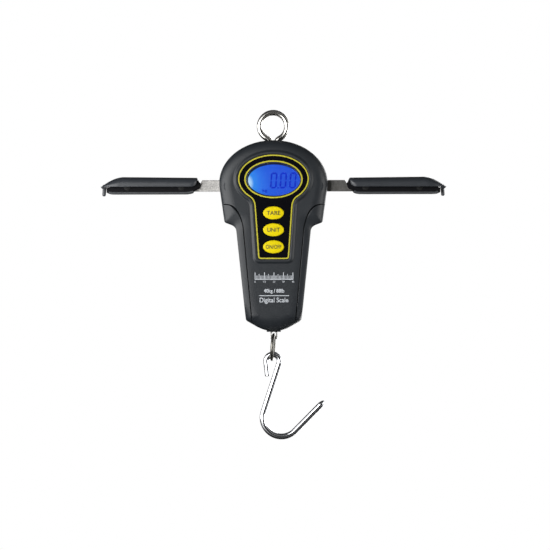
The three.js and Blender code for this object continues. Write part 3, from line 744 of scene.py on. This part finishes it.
def rear_casing():
    casing = body_with_collar("rear_casing_shell")
    combine(casing, seam_wall("front_side", SEAM, 1, RAIL_CHAMFER, SEAM / 2))
    hollow_and_open(casing, 1)

    def room_walls():
        walls = handle_room("room_walls", WALL - 0.2 * MM)
        return combine(walls, body_block("inner_block", 0.5 * MM, *CAVITY_STEPS), "INTERSECT")

    on_both_sides(casing, room_walls, "UNION")
    on_both_sides(casing, lambda: handle_room("room"))
    for x, z in SCREWS:
        on_both_sides(casing, lambda: bar_y("screw_cut", x, z, SCREW_WAY, *mm(0, 20)))
        on_both_sides(casing, lambda: turned("head_cut", x, z, [
            mm(2.8, 10.2), (2.8 * MM, BACK - 0.4 * MM), (3.3 * MM, BACK + 0.1 * MM),
        ]))
    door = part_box("battery_cover")
    combine(casing, box("doorway", (door[0].x - SEAM, 12 * MM, door[0].z - SEAM),
                        (door[1].x + SEAM, 20 * MM, door[1].z + SEAM)))
    cut_slots(casing)
    return settle(casing, "casing", "casing", ["rear_casing"])


front_casing()
rear_casing()


# ---- Fascia and display ----

def ring_plate(name, outer, inner, front, back):
    """A flat frame between two outlines of equal point count."""
    corners = ((outer, back), (outer, front), (inner, front), (inner, back))
    return loft(name, [at_depth(outline, y) for outline, y in corners], closed=True)


def fascia():
    plate = tapered("fascia_plate", [
        (keyhole(-0.15 * MM), FASCIA_FRONT),
        (keyhole(0), FASCIA_FRONT + 0.12 * MM),
        (keyhole(0), FASCIA_BACK),
    ])
    cut_openings(plate, window_ellipse(0), 0.2 * MM, (CUT_FRONT, -15 * MM))
    settle(plate, "fascia", "fascia", ["fascia_overlay"])

    inlay_front, inlay_back = FASCIA_FRONT - 0.04 * MM, FASCIA_FRONT + 0.06 * MM
    outline = ring_plate("fascia_outline", keyhole(-0.25 * MM), keyhole(-1.15 * MM),
                         inlay_front, inlay_back)
    settle(outline, "key", "line")
    surround = ring_plate("display_outline", window_ellipse(1.4 * MM), window_ellipse(0.4 * MM),
                          inlay_front, inlay_back)
    settle(surround, "key", "line")

    # The hood is partly a dark mask round the window and partly painted shade: its back opening is
    # set off to the right and down, so the black band is wider at the top and left, where the recess
    # is in shade.
    hood_front, hood_back = FASCIA_FRONT + 0.1 * MM, low("lcd_window", Y) - 0.05 * MM
    hood_and_shade = loft("display_hood", [
        at_depth(window_ellipse(-0.05 * MM), hood_back),
        at_depth(window_ellipse(-0.05 * MM), hood_front),
        at_depth(window_ellipse(-0.25 * MM), hood_front),
        at_depth(ellipse(WINDOW.x + 0.45 * MM, WINDOW.z - 0.5 * MM, 19.1 * MM, 11.5 * MM,
                         WINDOW_STEPS), hood_back),
    ], closed=True)
    settle(hood_and_shade, "fascia", "hood_and_shade")

    pane = slab("display_pane", window_ellipse(2.2 * MM), low("lcd_window", Y),
                high("lcd_window", Y))
    settle(pane, "lens", "lens", ["lcd_window"])


def segment(start, end, thick):
    """A pointed bar between two ends, in the plane of the display."""
    start, end = Vector(start), Vector(end)
    along = (end - start).normalized() * thick / 2
    across = Vector((-along.y, along.x))
    return [start, start + along + across, end - along + across, end, end - along - across,
            start + along - across]


DIGIT_SIZE = mm(3.75, 10.6)
DIGIT_PITCH = 7.05 * MM
DIGIT_SLANT = tan(radians(4.3))
DIGIT_FIRST = Vector(mm(0.2, -48.4))
SEGMENT = 1.15 * MM
DIGIT_FRONT = low("lcd_panel", Y) - 0.03 * MM


def display_digits():
    """The reading 0.00 in slanted seven-segment digits."""
    back = low("lcd_panel", Y) + 0.01 * MM
    half_width, half_height = DIGIT_SIZE[0] / 2, DIGIT_SIZE[1] / 2
    split = 0.1 * MM
    verts, faces = [], []

    def add(outline):
        count = len(outline)
        start = len(verts)
        slanted = [(x + (z - DIGIT_FIRST.y) * DIGIT_SLANT, z) for x, z in outline]
        verts.extend(at_depth(slanted, DIGIT_FRONT) + at_depth(slanted, back))
        faces.append(tuple(range(start, start + count)))
        faces.append(tuple(reversed(range(start + count, start + 2 * count))))
        for i in range(count):
            j = (i + 1) % count
            faces.append((start + i, start + count + i, start + count + j, start + j))

    for place in range(3):
        centre = DIGIT_FIRST + Vector((place * DIGIT_PITCH, 0))
        left, right = centre.x - half_width, centre.x + half_width
        top, bottom = centre.y + half_height, centre.y - half_height
        add(segment((left + split, top), (right - split, top), SEGMENT))
        add(segment((left + split, bottom), (right - split, bottom), SEGMENT))
        for x in (left, right):
            add(segment((x, top - split), (x, centre.y + split * 2), SEGMENT))
            add(segment((x, centre.y - split * 2), (x, bottom + split), SEGMENT))
    dot = DIGIT_FIRST + Vector((DIGIT_PITCH / 2 + 0.05 * MM, -half_height - 0.1 * MM))
    add(ellipse(dot.x, dot.y, 0.55 * MM, 0.55 * MM, 16))
    settle(new_object("display_reading", verts, faces), "display", "digits")


# ---- Lettering ----

PRINT_THICKNESS = 0.1 * MM


def lettering(name, text, centre, width, height, front, slot, surface, weight=0.0,
              body="housing", surface_y=None):
    """Raised print that faces -Y, fitted into a width and height about a centre (x, z)."""
    curve = bpy.data.curves.new(name, "FONT")
    curve.body = text
    curve.size = 1
    curve.offset = weight
    curve.extrude = 0.01
    curve.resolution_u = 6
    source = add_object(name, curve)
    mesh = evaluated_mesh(source)
    bpy.data.objects.remove(source)
    mesh.name = name

    xs = [v.co.x for v in mesh.vertices]
    ys = [v.co.y for v in mesh.vertices]
    scale_x = width / (max(xs) - min(xs))
    scale_z = height / (max(ys) - min(ys))
    text_x, text_y = (max(xs) + min(xs)) / 2, (max(ys) + min(ys)) / 2
    for vertex in mesh.vertices:
        x = centre[0] + (vertex.co.x - text_x) * scale_x
        z = centre[1] + (vertex.co.y - text_y) * scale_z
        face = front if surface_y is None else surface_y(x, z)
        vertex.co = (x, face if vertex.co.z > 0 else face + PRINT_THICKNESS, z)
    obj = add_object(name, mesh)
    work = bmesh.new()
    work.from_mesh(mesh)
    bmesh.ops.remove_doubles(work, verts=work.verts, dist=1e-7)
    work.to_mesh(mesh)
    work.free()
    settle(obj, slot, surface, body=body)


# ---- Keys ----

KEY_DOME = 0.45 * MM
KEY_EDGE_RUN = 1.1 * MM * 0.75    # how far the rounded edge reaches in
KEY_EDGE_DROP = 1.1 * MM * 0.8    # and how deep it goes
KEY_LABELS = {
    "tare": ("TARE", 10.0 * MM, 3.0 * MM),
    "unit": ("UNIT", 9.2 * MM, 3.0 * MM),
    "power": ("ON/OFF", 11.4 * MM, 3.0 * MM),
}


def key_face(key_z, x, z):
    """The depth of the domed key face at a point."""
    away = min(1, (x / KEY_SEMI[0]) ** 2 + ((z - key_z) / KEY_SEMI[1]) ** 2)
    return KEY_FRONT + KEY_DOME * away


def key_cap(name, key_z):
    """An elliptical key: flange, straight sides, a rounded edge and a slightly domed face."""
    node = f"{name}_key"
    flange_front, flange_back = -12.7 * MM, high(node, Y)
    rings = []
    for i in range(12):
        fraction = 0.04 + 0.96 * i / 11
        semi = [(side - KEY_EDGE_RUN) * fraction for side in KEY_SEMI]
        rings.append((ellipse(0, key_z, *semi), key_face(key_z, semi[0], key_z)))
    edge_y = rings[-1][1]
    for reach, drop in quarter_turn(8)[1:]:
        rings.append((key_ellipse(key_z, -KEY_EDGE_RUN * reach), edge_y + KEY_EDGE_DROP * drop))
    rings.append((key_ellipse(key_z), flange_front))
    flange = ellipse(0, key_z, high(node, X), high(node, Z) - key_z)
    rings += [(flange, flange_front), (flange, flange_back)]
    settle(tapered(f"{name}_key_cap", rings), "key", "key", [node], node)

    text, width, height = KEY_LABELS[name]
    lettering(f"{name}_key_label", text, (0, key_z), width, height, KEY_FRONT, "elastomer",
              "key_print", 0.011, node, lambda x, z: key_face(key_z, x, z) - 0.07 * MM)


# ---- Prints on the lower front ----

PRINT_X = 0.25 * MM
PRINT_FRONT = FRONT - 0.03 * MM


def printed_bar(name, x0, x1, z0, z1):
    return box(name, (x0, PRINT_FRONT, z0), (x1, FRONT + 0.05 * MM, z1))


def front_print(name, text, z, width, height, weight=0.0, x=PRINT_X):
    lettering(name, text, (x, z), width, height, PRINT_FRONT, "diffuser", "print", weight)


def scale_print():
    """A ruled scale with numbers, as a plain decoration."""
    half = 13.9 * MM
    ticks = 29
    base, top = mm(-121.2, -116.1)
    spacing = 2 * half / (ticks - 1)
    bars = [(PRINT_X - half - 0.2 * MM, PRINT_X + half + 0.2 * MM,
             base - 0.25 * MM, base + 0.25 * MM)]
    for i in range(ticks):
        x = PRINT_X - half + i * spacing
        reach = top if i % 7 == 0 else base + (top - base) * (0.78 if i % 7 == 3 else 0.55)
        thick = (0.28 if i % 7 == 0 else 0.2) * MM
        bars.append((x - thick, x + thick, base, reach))
    merged = joined(printed_bar("tick", *bar) for bar in bars)
    merged.name = "scale_print"
    settle(merged, "diffuser", "print")
    for i, number in enumerate(("0", "10", "20", "30", "40")):
        front_print(f"scale_number_{number}", number, -122.9 * MM, (0.9 if i == 0 else 1.8) * MM,
                    1.4 * MM, x=PRINT_X - half + i * half / 2)


def lower_prints():
    scale_print()
    front_print("capacity_print", "40kg / 88lb", *mm(-130, 15, 3.6), 0.022)
    rule = printed_bar("rule_print", PRINT_X - 11 * MM, PRINT_X + 11 * MM, *mm(-133.45, -132.9))
    settle(rule, "diffuser", "print")
    front_print("name_print", "Digital Scale", *mm(-136.9, 21, 4.6), 0.012)


fascia()
display_digits()
lettering("display_unit", "kg", mm(-6.3, -56.0), *mm(3.6, 2.8), DIGIT_FRONT, "display", "digits",
          0.025)
for key_name, key_z in KEY_Z.items():
    key_cap(key_name, key_z)
lower_prints()


# ---- Wires and the load path ----

def in_plane(points, y=0.0):
    """Points (x, z) placed in space, at one depth."""
    return [Vector((x, y, z)) for x, z in points]


def steady(radius):
    return lambda along: radius


EYE_RADIUS = 2.1 * MM
EYE_LOOP = 10.1 * MM
EYE_CENTRE_Z = high("eye_loop", Z) - EYE_LOOP - EYE_RADIUS


def eye():
    """The hanging eye: one wire bent into a ring, with two legs down into the housing."""
    open_angle = radians(28)
    leg_x, leg_end = 2.3 * MM, low("eye_loop", Z)
    arc_x = EYE_LOOP * sin(open_angle)
    arc_z = EYE_CENTRE_Z - EYE_LOOP * cos(open_angle)
    corner_z = arc_z - (arc_x - leg_x) * tan(open_angle)
    right = [(leg_x, leg_end), (leg_x, corner_z - 3 * MM)]
    right += bezier((leg_x, corner_z - 3 * MM), (leg_x, corner_z), (arc_x, arc_z), 16)[1:]
    top = arc((0, EYE_CENTRE_Z), EYE_LOOP, -62, 242, 120)
    left = [(-x, z) for x, z in reversed(right)]
    path = resample(in_plane(right + top[1:-1] + left), 0.45 * MM)
    wire = tube("eye_wire", path, steady(EYE_RADIUS), 32)
    combine(wire, box("pin_way", mm(-6, -1.2, -27.4), mm(6, 1.2, -25)))
    settle(wire, "chrome", "eye_steel", ["eye_loop"])


BAR_HOLE = (0, -161.8 * MM)
BAR_HOLE_RADIUS = 1.8 * MM


def pull_bar():
    """A flat bar with a rounded, drilled end."""
    lowest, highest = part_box("pull_bar")
    half = highest.x
    bottom = lowest.z
    corner = 2.1 * MM
    outline = [(half, highest.z), (-half, highest.z)]
    outline += bezier((-half, bottom + corner), (-half, bottom), (-half + corner, bottom), 10)
    outline += bezier((half - corner, bottom), (half, bottom), (half, bottom + corner), 10)
    edge = 0.2 * MM
    inner = [(x - copysign(edge, x), z + (edge if z < BAR_HOLE[1] else 0)) for x, z in outline]
    bar = tapered("bar_plate", [
        (inner, lowest.y), (outline, lowest.y + edge),
        (outline, highest.y - edge), (inner, highest.y),
    ])
    flare = 0.5 * MM
    for z, radius in ((BAR_HOLE[1], BAR_HOLE_RADIUS), mm(-84, 1.6)):
        combine(bar, turned("hole", 0, z, [
            (radius + flare, lowest.y - 0.1 * MM), (radius, lowest.y + 0.35 * MM),
            (radius, highest.y - 0.35 * MM), (radius + flare, highest.y + 0.1 * MM),
        ], 48))
    settle(bar, "steel", "steel", ["pull_bar"])


RING_WIRE = 2.5 * MM
RING_RADIUS = 9.1 * MM
RING_TOP = BAR_HOLE[1] - BAR_HOLE_RADIUS + RING_WIRE / 2 + 0.1 * MM


def link_ring():
    turn = Matrix.Rotation(radians(4), 4, "Y") @ Matrix.Rotation(radians(-4), 4, "Z")
    path = []
    for i in range(128):
        angle = 2 * pi * i / 128
        point = Vector((0, RING_RADIUS * sin(angle), RING_RADIUS * (cos(angle) - 1)))
        path.append(turn @ point + Vector((0, 0, RING_TOP)))
    ring = tube("link_ring_wire", path, steady(RING_WIRE / 2 - 0.04 * MM), 28, closed=True)
    settle(ring, "ring_steel", "ring_steel", ["link_ring"], "link")


HOOK_RADIUS = 2.15 * MM
HOOK_LOOP_RADIUS = 5 * MM
HOOK_LOOP = (-0.6 * MM,
             RING_TOP - 2 * RING_RADIUS + RING_WIRE / 2 + 0.3 * MM + HOOK_RADIUS - HOOK_LOOP_RADIUS)
HOOK_LEAN = 18.97                # degrees from upright
HOOK_BOWL = mm(5.6, -223.6)
HOOK_BOWL_RADIUS = 13.9 * MM
HOOK_RISE = 45.3                 # degrees above level
HOOK_FREE_END = -192.8 * MM
HOOK_LEG = 31 * MM
HOOK_POINT = 4.5 * MM            # length of the ground point


def load_hook():
    """A bent wire: a small loop, a leaning leg, a round bowl and a leg rising to a ground point."""
    path = [(HOOK_LOOP[0] - HOOK_LOOP_RADIUS + 1.3 * MM, HOOK_FREE_END)]
    path += arc(HOOK_LOOP, HOOK_LOOP_RADIUS, 180, -HOOK_LEAN, 60)
    path += arc(HOOK_BOWL, HOOK_BOWL_RADIUS, 180 - HOOK_LEAN, 270 + HOOK_RISE, 60)
    rise = radians(HOOK_RISE)
    last = path[-1]
    path.append((last[0] + HOOK_LEG * cos(rise), last[1] + HOOK_LEG * sin(rise)))
    points = resample(in_plane(path), 0.4 * MM)
    length = sum((b - a).length for a, b in zip(points, points[1:]))

    def radius(along):
        """Square-cut with broken edges at the start, ground to a blunt point at the end."""
        from_start, from_end = along * length, (1 - along) * length
        if from_start < 0.4 * MM:
            return HOOK_RADIUS - 0.3 * MM * (1 - from_start / (0.4 * MM))
        if from_end < HOOK_POINT:
            left = max(0.0, from_end / HOOK_POINT)
            return HOOK_RADIUS * (0.34 + 0.66 * sin(pi / 2 * left) ** 0.75)
        return HOOK_RADIUS

    wire = tube("hook_wire", points, radius, 32)
    settle(wire, "chrome", "chrome", ["load_hook"], "hook")


eye()
pull_bar()
link_ring()
load_hook()


# ---- Handles, drawn on the right and mirrored to the left ----

GRIP_TOP = high("right_grip_cover", Z)
GRIP_BOTTOM = low("right_grip_core", Z)
GRIP_CREASE = -52.9 * MM
GRIP_HALF_DEPTH = high("right_grip_cover", Y)
CORE_HALF_DEPTH = 4.9 * MM
RIVETS = [mm(68, -53.2), mm(108, -53.2)]
RIVET_HOLE = 1.8 * MM
STRIP_TOP = high("right_strip", Z)
STRIP_BOTTOM = low("right_strip", Z)
STRIP_HALF = high("right_strip", Y)


def inset_outline(outline, distance):
    """A closed outline, whichever way round it runs, moved inwards by a distance."""
    count = len(outline)
    area = sum(outline[i - 1][0] * outline[i][1] - outline[i][0] * outline[i - 1][1]
               for i in range(count))
    side = 1 if area > 0 else -1
    moved = []
    for i in range(count):
        here = Vector(outline[i])
        into = (here - Vector(outline[i - 1])).normalized()
        out = (Vector(outline[(i + 1) % count]) - here).normalized()
        normal_in, normal_out = Vector((-into.y, into.x)), Vector((-out.y, out.x))
        halfway = (normal_in + normal_out).normalized()
        reach = distance / max(0.5, halfway.dot(normal_in))
        moved.append(tuple(here + halfway * reach * side))
    return moved


def soft_slab(name, outline, half_depth, radius, steps=6):
    """A slab about the XZ plane with rounded edges all round."""
    layers = []
    for reach, drop in quarter_turn(steps):
        inset = radius * reach
        layers.append((inset_outline(outline, inset) if inset > 1e-7 else outline,
                       -half_depth + radius * drop))
    return tapered(name, layers + [(ring, -y) for ring, y in reversed(layers)])


def strip():
    """The flat steel arm."""
    centre_z = (STRIP_TOP + STRIP_BOTTOM) / 2
    half = (STRIP_TOP - STRIP_BOTTOM) / 2
    end = high("right_strip", X)
    outline = arc((PIVOT.x, centre_z), half, 90, 270, 24)
    outline += [(end, STRIP_BOTTOM), (end, -50.2 * MM), mm(54.1, -50.2), (52.7 * MM, STRIP_TOP)]
    plate = soft_slab("strip_plate", outline, STRIP_HALF, 0.25 * MM, 3)
    for x, z, radius in ((PIVOT.x, PIVOT.z, PIVOT_HOLE), *((x, z, RIVET_HOLE) for x, z in RIVETS)):
        combine(plate, bar_y("hole", x, z, radius, *mm(-5, 5), 32))
    return plate


COVER_NEAR = low("right_grip_cover", X)
COVER_TIP = high("right_grip_cover", X)
TIP_CURVE = bezier((COVER_TIP, GRIP_CREASE), (119.1 * MM, GRIP_TOP - 0.6 * MM),
                   (111.1 * MM, GRIP_TOP), 40)


def cover_top(x):
    """The height of the cover's top line, which falls away in a curve to the tip."""
    if x <= TIP_CURVE[-1][0]:
        slope = 0.6 * MM * (TIP_CURVE[-1][0] - x) / (TIP_CURVE[-1][0] - COVER_NEAR)
        return GRIP_TOP - slope
    for (x0, z0), (x1, z1) in zip(TIP_CURVE, TIP_CURVE[1:]):
        if x1 <= x <= x0:
            return z1 + (z0 - z1) * (x - x1) / (x0 - x1)
    return GRIP_CREASE


def near_end_factor(x, height):
    """The share of its depth the cover has near the body, where its lower corner is cut round."""
    width = (7.6 - 5.8 * height) * MM
    near = min(1.0, max(0.0, x - COVER_NEAR) / width)
    return 0.42 + 0.58 * sqrt(1 - (1 - near) ** 2)


def cover_section(x):
    """The cover's section at x: upright sides, broad shoulders and a flat top, closed below."""
    top = cover_top(x) - 2.6 * MM * (1 - min(1.0, (x - COVER_NEAR) / (1.4 * MM))) ** 1.5
    bottom = GRIP_CREASE + 3.2 * MM * (1 - min(1.0, (x - COVER_NEAR) / (5.6 * MM))) ** 1.6
    tip = min(1.0, max(0.0, (COVER_TIP - x) / (14 * MM)))
    half = GRIP_HALF_DEPTH * (0.62 + 0.38 * sin(pi / 2 * tip))
    rise = min(5.2 * MM, max(0.05 * MM, (top - bottom) * 0.8))
    run = min(6.2 * MM, half * 0.8)
    profile = [(half - 0.25 * MM, bottom), (half, bottom + 0.3 * MM), (half, top - rise)]
    profile += [(half - run * inwards, top - rise * below)
                for below, inwards in quarter_turn(14)[1:]]
    front = []
    for depth, z in profile:
        height = min(1.0, max(0.0, (z - bottom) / max(0.1 * MM, top - bottom)))
        front.append((-depth * near_end_factor(x, height), z))
    return [Vector((x, y, z)) for y, z in front + [(-y, z) for y, z in reversed(front)]]


def grip_cover():
    """The outer shell of a grip: a channel open along its lower side, with a peg at its tip."""
    places = [COVER_NEAR + 7 * MM * (i / 14) ** 1.6 for i in range(14)]
    places += [COVER_NEAR + (7 + 2.6 * i) * MM for i in range(18)]
    places += [109 * MM + (COVER_TIP - 109 * MM) * (i / 26) for i in range(27)]
    shell = loft("grip_shell", [cover_section(x) for x in places])
    channel = slab("channel", [
        mm(50, -60), mm(122.2, -60), (122.2 * MM, GRIP_CREASE), mm(119.3, -50.2), mm(112.5, -47.9),
        mm(60, -47.9), mm(54, -48.6), mm(50, -48.6),
    ], -7.7 * MM, 7.7 * MM)
    combine(shell, channel)
    top, foot = Vector((124.9 * MM, 0, -51.2 * MM)), Vector((125.4 * MM, 0, -59.6 * MM))
    path = resample([top, foot], 0.3 * MM)

    def radius(along):
        """Even, and tapered over the last tenth of the peg."""
        return (1.35 if along < 0.9 else 1.35 - 0.5 * (along - 0.9) / 0.1) * MM

    combine(shell, tube("peg", path, radius, 24), "UNION")
    boss = [(123.9 * MM, GRIP_CREASE + 0.3 * MM), (COVER_TIP - 0.5 * MM, GRIP_CREASE + 0.3 * MM)]
    boss += bezier((COVER_TIP - 0.1 * MM, GRIP_CREASE), (COVER_TIP - 0.5 * MM, -54.1 * MM),
                   mm(125.9, -54.3), 6)
    boss += [mm(123.9, -54.3)]
    combine(shell, soft_slab("tip_boss", boss, 3.6 * MM, 0.4 * MM, 3), "UNION")
    return shell


def grip_core():
    """The inner part of a grip, which holds the strip and carries a bead along its lower edge."""
    near = low("right_grip_core", X)
    outline = [mm(112.3, -47.6), mm(56, -47.6), (near, -50.4 * MM), (near + 1 * MM, -53.8 * MM)]
    outline += bezier(mm(57.9, -55.6), mm(60.6, -58), (65.5 * MM, GRIP_BOTTOM), 10)
    outline += bezier((118.6 * MM, GRIP_BOTTOM), (121.2 * MM, GRIP_BOTTOM), mm(123.2, -57), 6)
    outline += [mm(123.4, -53.4), mm(121.7, -53.3), mm(118.9, -50.6)]
    core = soft_slab("core_slab", outline, CORE_HALF_DEPTH, 0.4 * MM, 3)
    combine(core, box("strip_room", (50 * MM, -1.3 * MM, STRIP_BOTTOM - 0.3 * MM),
                      mm(116.4, 1.3, -49.9)))
    for x, z in RIVETS:
        combine(core, bar_y("rivet_hole", x, z, RIVET_HOLE, *mm(-8, 8), 32))
    return core


def grip_rim():
    """The rolled edge round the lower side of a grip, in a lighter colour than the cover: a painted
    highlight.
    """
    path = [mm(59.4, -56.3), mm(61.4, -57.0), mm(64.6, -57.35), mm(119.0, -57.3), mm(121.6, -56.7)]
    rim = joined(tube("bead", resample(in_plane(path, y), 0.8 * MM), steady(0.85 * MM), 20)
                 for y in mm(-4.9, 4.9))
    return combine(rim, box("cross", mm(63, -4.9, -58.2), mm(118, 4.9, -57.6)), "UNION")


def rivet(x, z):
    """A round pin with a low domed head at each end."""
    half = high("right_rivet_1", Y)
    head = CORE_HALF_DEPTH + 0.05 * MM
    side = [(1.0 * MM, half), (1.9 * MM, half - 0.08 * MM), (2.4 * MM, half - 0.25 * MM),
            (2.4 * MM, head), (1.5 * MM, head)]
    sections = [(radius, -y) for radius, y in side] + side[::-1]
    return turned("rivet_body", x, z, sections, 32)


def handles():
    pieces = [
        ("strip", strip(), "steel", "arm_steel_lit"),
        ("grip_core", grip_core(), "grip_core", "grip_core"),
        ("grip_cover", grip_cover(), "grip", "grip"),
        ("grip_rim", grip_rim(), "grip", "grip_rim"),
        ("rivet_1", rivet(*RIVETS[0]), "screw", "rivet"),
        ("rivet_2", rivet(*RIVETS[1]), "screw", "rivet"),
    ]
    for node, piece, slot, surface in pieces:
        other = mirror_x(piece, f"left_{node}_shape")
        piece.name = f"right_{node}_shape"
        for side, item in (("right", piece), ("left", other)):
            stands_for = [f"{side}_{node}"] if f"{side}_{node}" in frame["nodes"] else []
            settle(item, slot, surface, stands_for, f"{side}_handle")
    # The right arm gets the darker copy of the steel: painted shade.
    paint(bpy.data.objects["right_strip_shape"], "arm_steel_shaded")


handles()


# ---- Back: battery door and screws ----

def battery_door():
    """The battery door: a plate with softened edges and thumb grooves."""
    lowest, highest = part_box("battery_cover")
    corners = [(highest.x, highest.z), (lowest.x, highest.z), (lowest.x, lowest.z),
               (highest.x, lowest.z)]
    outline = rounded(corners, 1.2 * MM)
    edge = 0.35 * MM
    layers = [
        (outline, lowest.y), (outline, highest.y - edge),
        (inset_outline(outline, 0.3 * edge), highest.y - 0.3 * edge),
        (inset_outline(outline, edge), highest.y),
    ]
    plate = tapered("battery_door_plate", layers)
    for i in range(4):
        z = highest.z - 5 * MM - 2.4 * MM * i
        half = 5 * MM
        groove = rounded([(half, z + 0.6 * MM), (-half, z + 0.6 * MM), (-half, z - 0.6 * MM),
                          (half, z - 0.6 * MM)], 0.55 * MM, 4)
        combine(plate, tapered("groove", [
            (inset_outline(groove, 0.3 * MM), highest.y - 0.6 * MM),
            (groove, highest.y - 0.2 * MM),
            (inset_outline(groove, -0.25 * MM), highest.y + 0.1 * MM),
        ]))
    settle(plate, "casing", "casing", ["battery_cover"], "battery_door")


def casing_screw(node):
    """A pan-headed screw with a cross recess."""
    x, z = middle(node, X), middle(node, Z)
    back = high(node, Y)
    screw = turned(f"{node}_shape", x, z, [
        (1.4 * MM, low(node, Y)), mm(1.4, 10.5), mm(2.5, 10.5), (2.5 * MM, back - 0.7 * MM),
        (2.3 * MM, back - 0.35 * MM), (1.8 * MM, back - 0.1 * MM), (1.0 * MM, back),
    ])
    for wide, tall in (mm(1.45, 0.32), mm(0.32, 1.45)):
        combine(screw, box("recess", (x - wide, back - 0.8 * MM, z - tall),
                           (x + wide, back + 1 * MM, z + tall)))
    settle(screw, "screw", "screw", [node])


battery_door()
for side in ("left", "right"):
    for number in (1, 2, 3):
        casing_screw(f"casing_screw_{side}_{number}")


# ---- Inside pieces ----

for part in frame["record"]["subparts"]:
    paint(frame["nodes"][part["node"]], part["material_slot"])


# ---- Stage ----

def camera():
    data = bpy.data.cameras.new("camera")
    obj = add_object("camera", data)
    data.sensor_width = 36
    data.lens = 194.6
    data.clip_start = 0.1
    data.dof.use_dof = False
    obj.location = (0.001, -2.2, -0.118)
    obj.rotation_euler = (pi / 2, radians(0.1), 0)
    bpy.context.scene.camera = obj


def area_light(name, place, aim, size, power):
    data = bpy.data.lights.new(name, "AREA")
    data.shape = "RECTANGLE"
    data.size, data.size_y = size
    data.energy = power
    obj = add_object(name, data)
    obj.location = place
    obj.rotation_euler = (Vector(aim) - Vector(place)).to_track_quat("-Z", "Y").to_euler()
    obj.visible_camera = False


# Dark parts of the light tent: direction, where the dark starts and is full (as cosines of the
# angle from that direction), and the level left there.
TENT_SHADES = (
    ((0, -1, 0), 0.80, 0.92, 0.04),
    ((0.54, -0.84, 0), 0.84, 0.91, 0.04),
    ((-0.50, 0.866, 0), 0.20, 0.46, 0.05),
    ((0.94, 0.34, 0), 0.40, 0.75, 0.50),
    ((0, 0, 1), 0.38, 0.68, 0.08),
    ((0, 0, -1), 0.34, 0.64, 0.03),
)


def world():
    """A light tent with dark parts, in reflections only, before a white backdrop."""
    made = bpy.data.worlds.new("studio")
    bpy.context.scene.world = made
    made.use_nodes = True
    tree = made.node_tree
    direction = add_node(tree, "TexCoord", {}).outputs["Generated"]
    tent = 1.0
    for axis, start, full, level in TENT_SHADES:
        along = add_node(tree, "VectorMath", {0: direction, 1: axis}, operation="DOT_PRODUCT")
        dimmed = add_node(tree, "MapRange", {
            "Value": along.outputs["Value"], "From Min": start, "From Max": full, "To Min": 1,
            "To Max": level,
        }, interpolation_type="SMOOTHSTEP").outputs["Result"]
        tent = add_node(tree, "Math", {0: tent, 1: dimmed}, operation="MULTIPLY").outputs["Value"]
    camera_ray = add_node(tree, "LightPath", {}).outputs["Is Camera Ray"]
    seen = add_node(tree, "Math", {0: tent, 1: camera_ray}, operation="MAXIMUM")
    feed(tree, tree.nodes["Background"], {"Color": seen.outputs["Value"]})


FLOOR_Z = -0.9
FLOOR_HALF = 0.9


def floor():
    corners = [(-1, -1), (1, -1), (1, 1), (-1, 1)]
    obj = new_object("floor", [(x * FLOOR_HALF, y * FLOOR_HALF, FLOOR_Z) for x, y in corners],
                     [(0, 1, 2, 3)])
    material("floor", (0.86, 0.86, 0.86), 0.6, mottle=0.015, mottle_size=0.05)
    paint(obj, "floor")
    obj.visible_glossy = False


camera()
world()
floor()
area_light("key_light", (-0.40, -0.50, -0.05), (0, 0, -0.1), (0.6, 0.55), 5.4)
area_light("side_light", (-0.73, -0.18, -0.08), (0, 0, -0.08), (0.35, 0.4), 2.3)
area_light("fill_light", (1.15, -0.60, -0.1), (0, 0, -0.1), (0.6, 0.8), 7.5)
area_light("back_light", (0.8, 1.25, -0.1), (0, 0, -0.1), (1.5, 1.5), 30)
bpy.context.scene.view_settings.view_transform = "Standard"
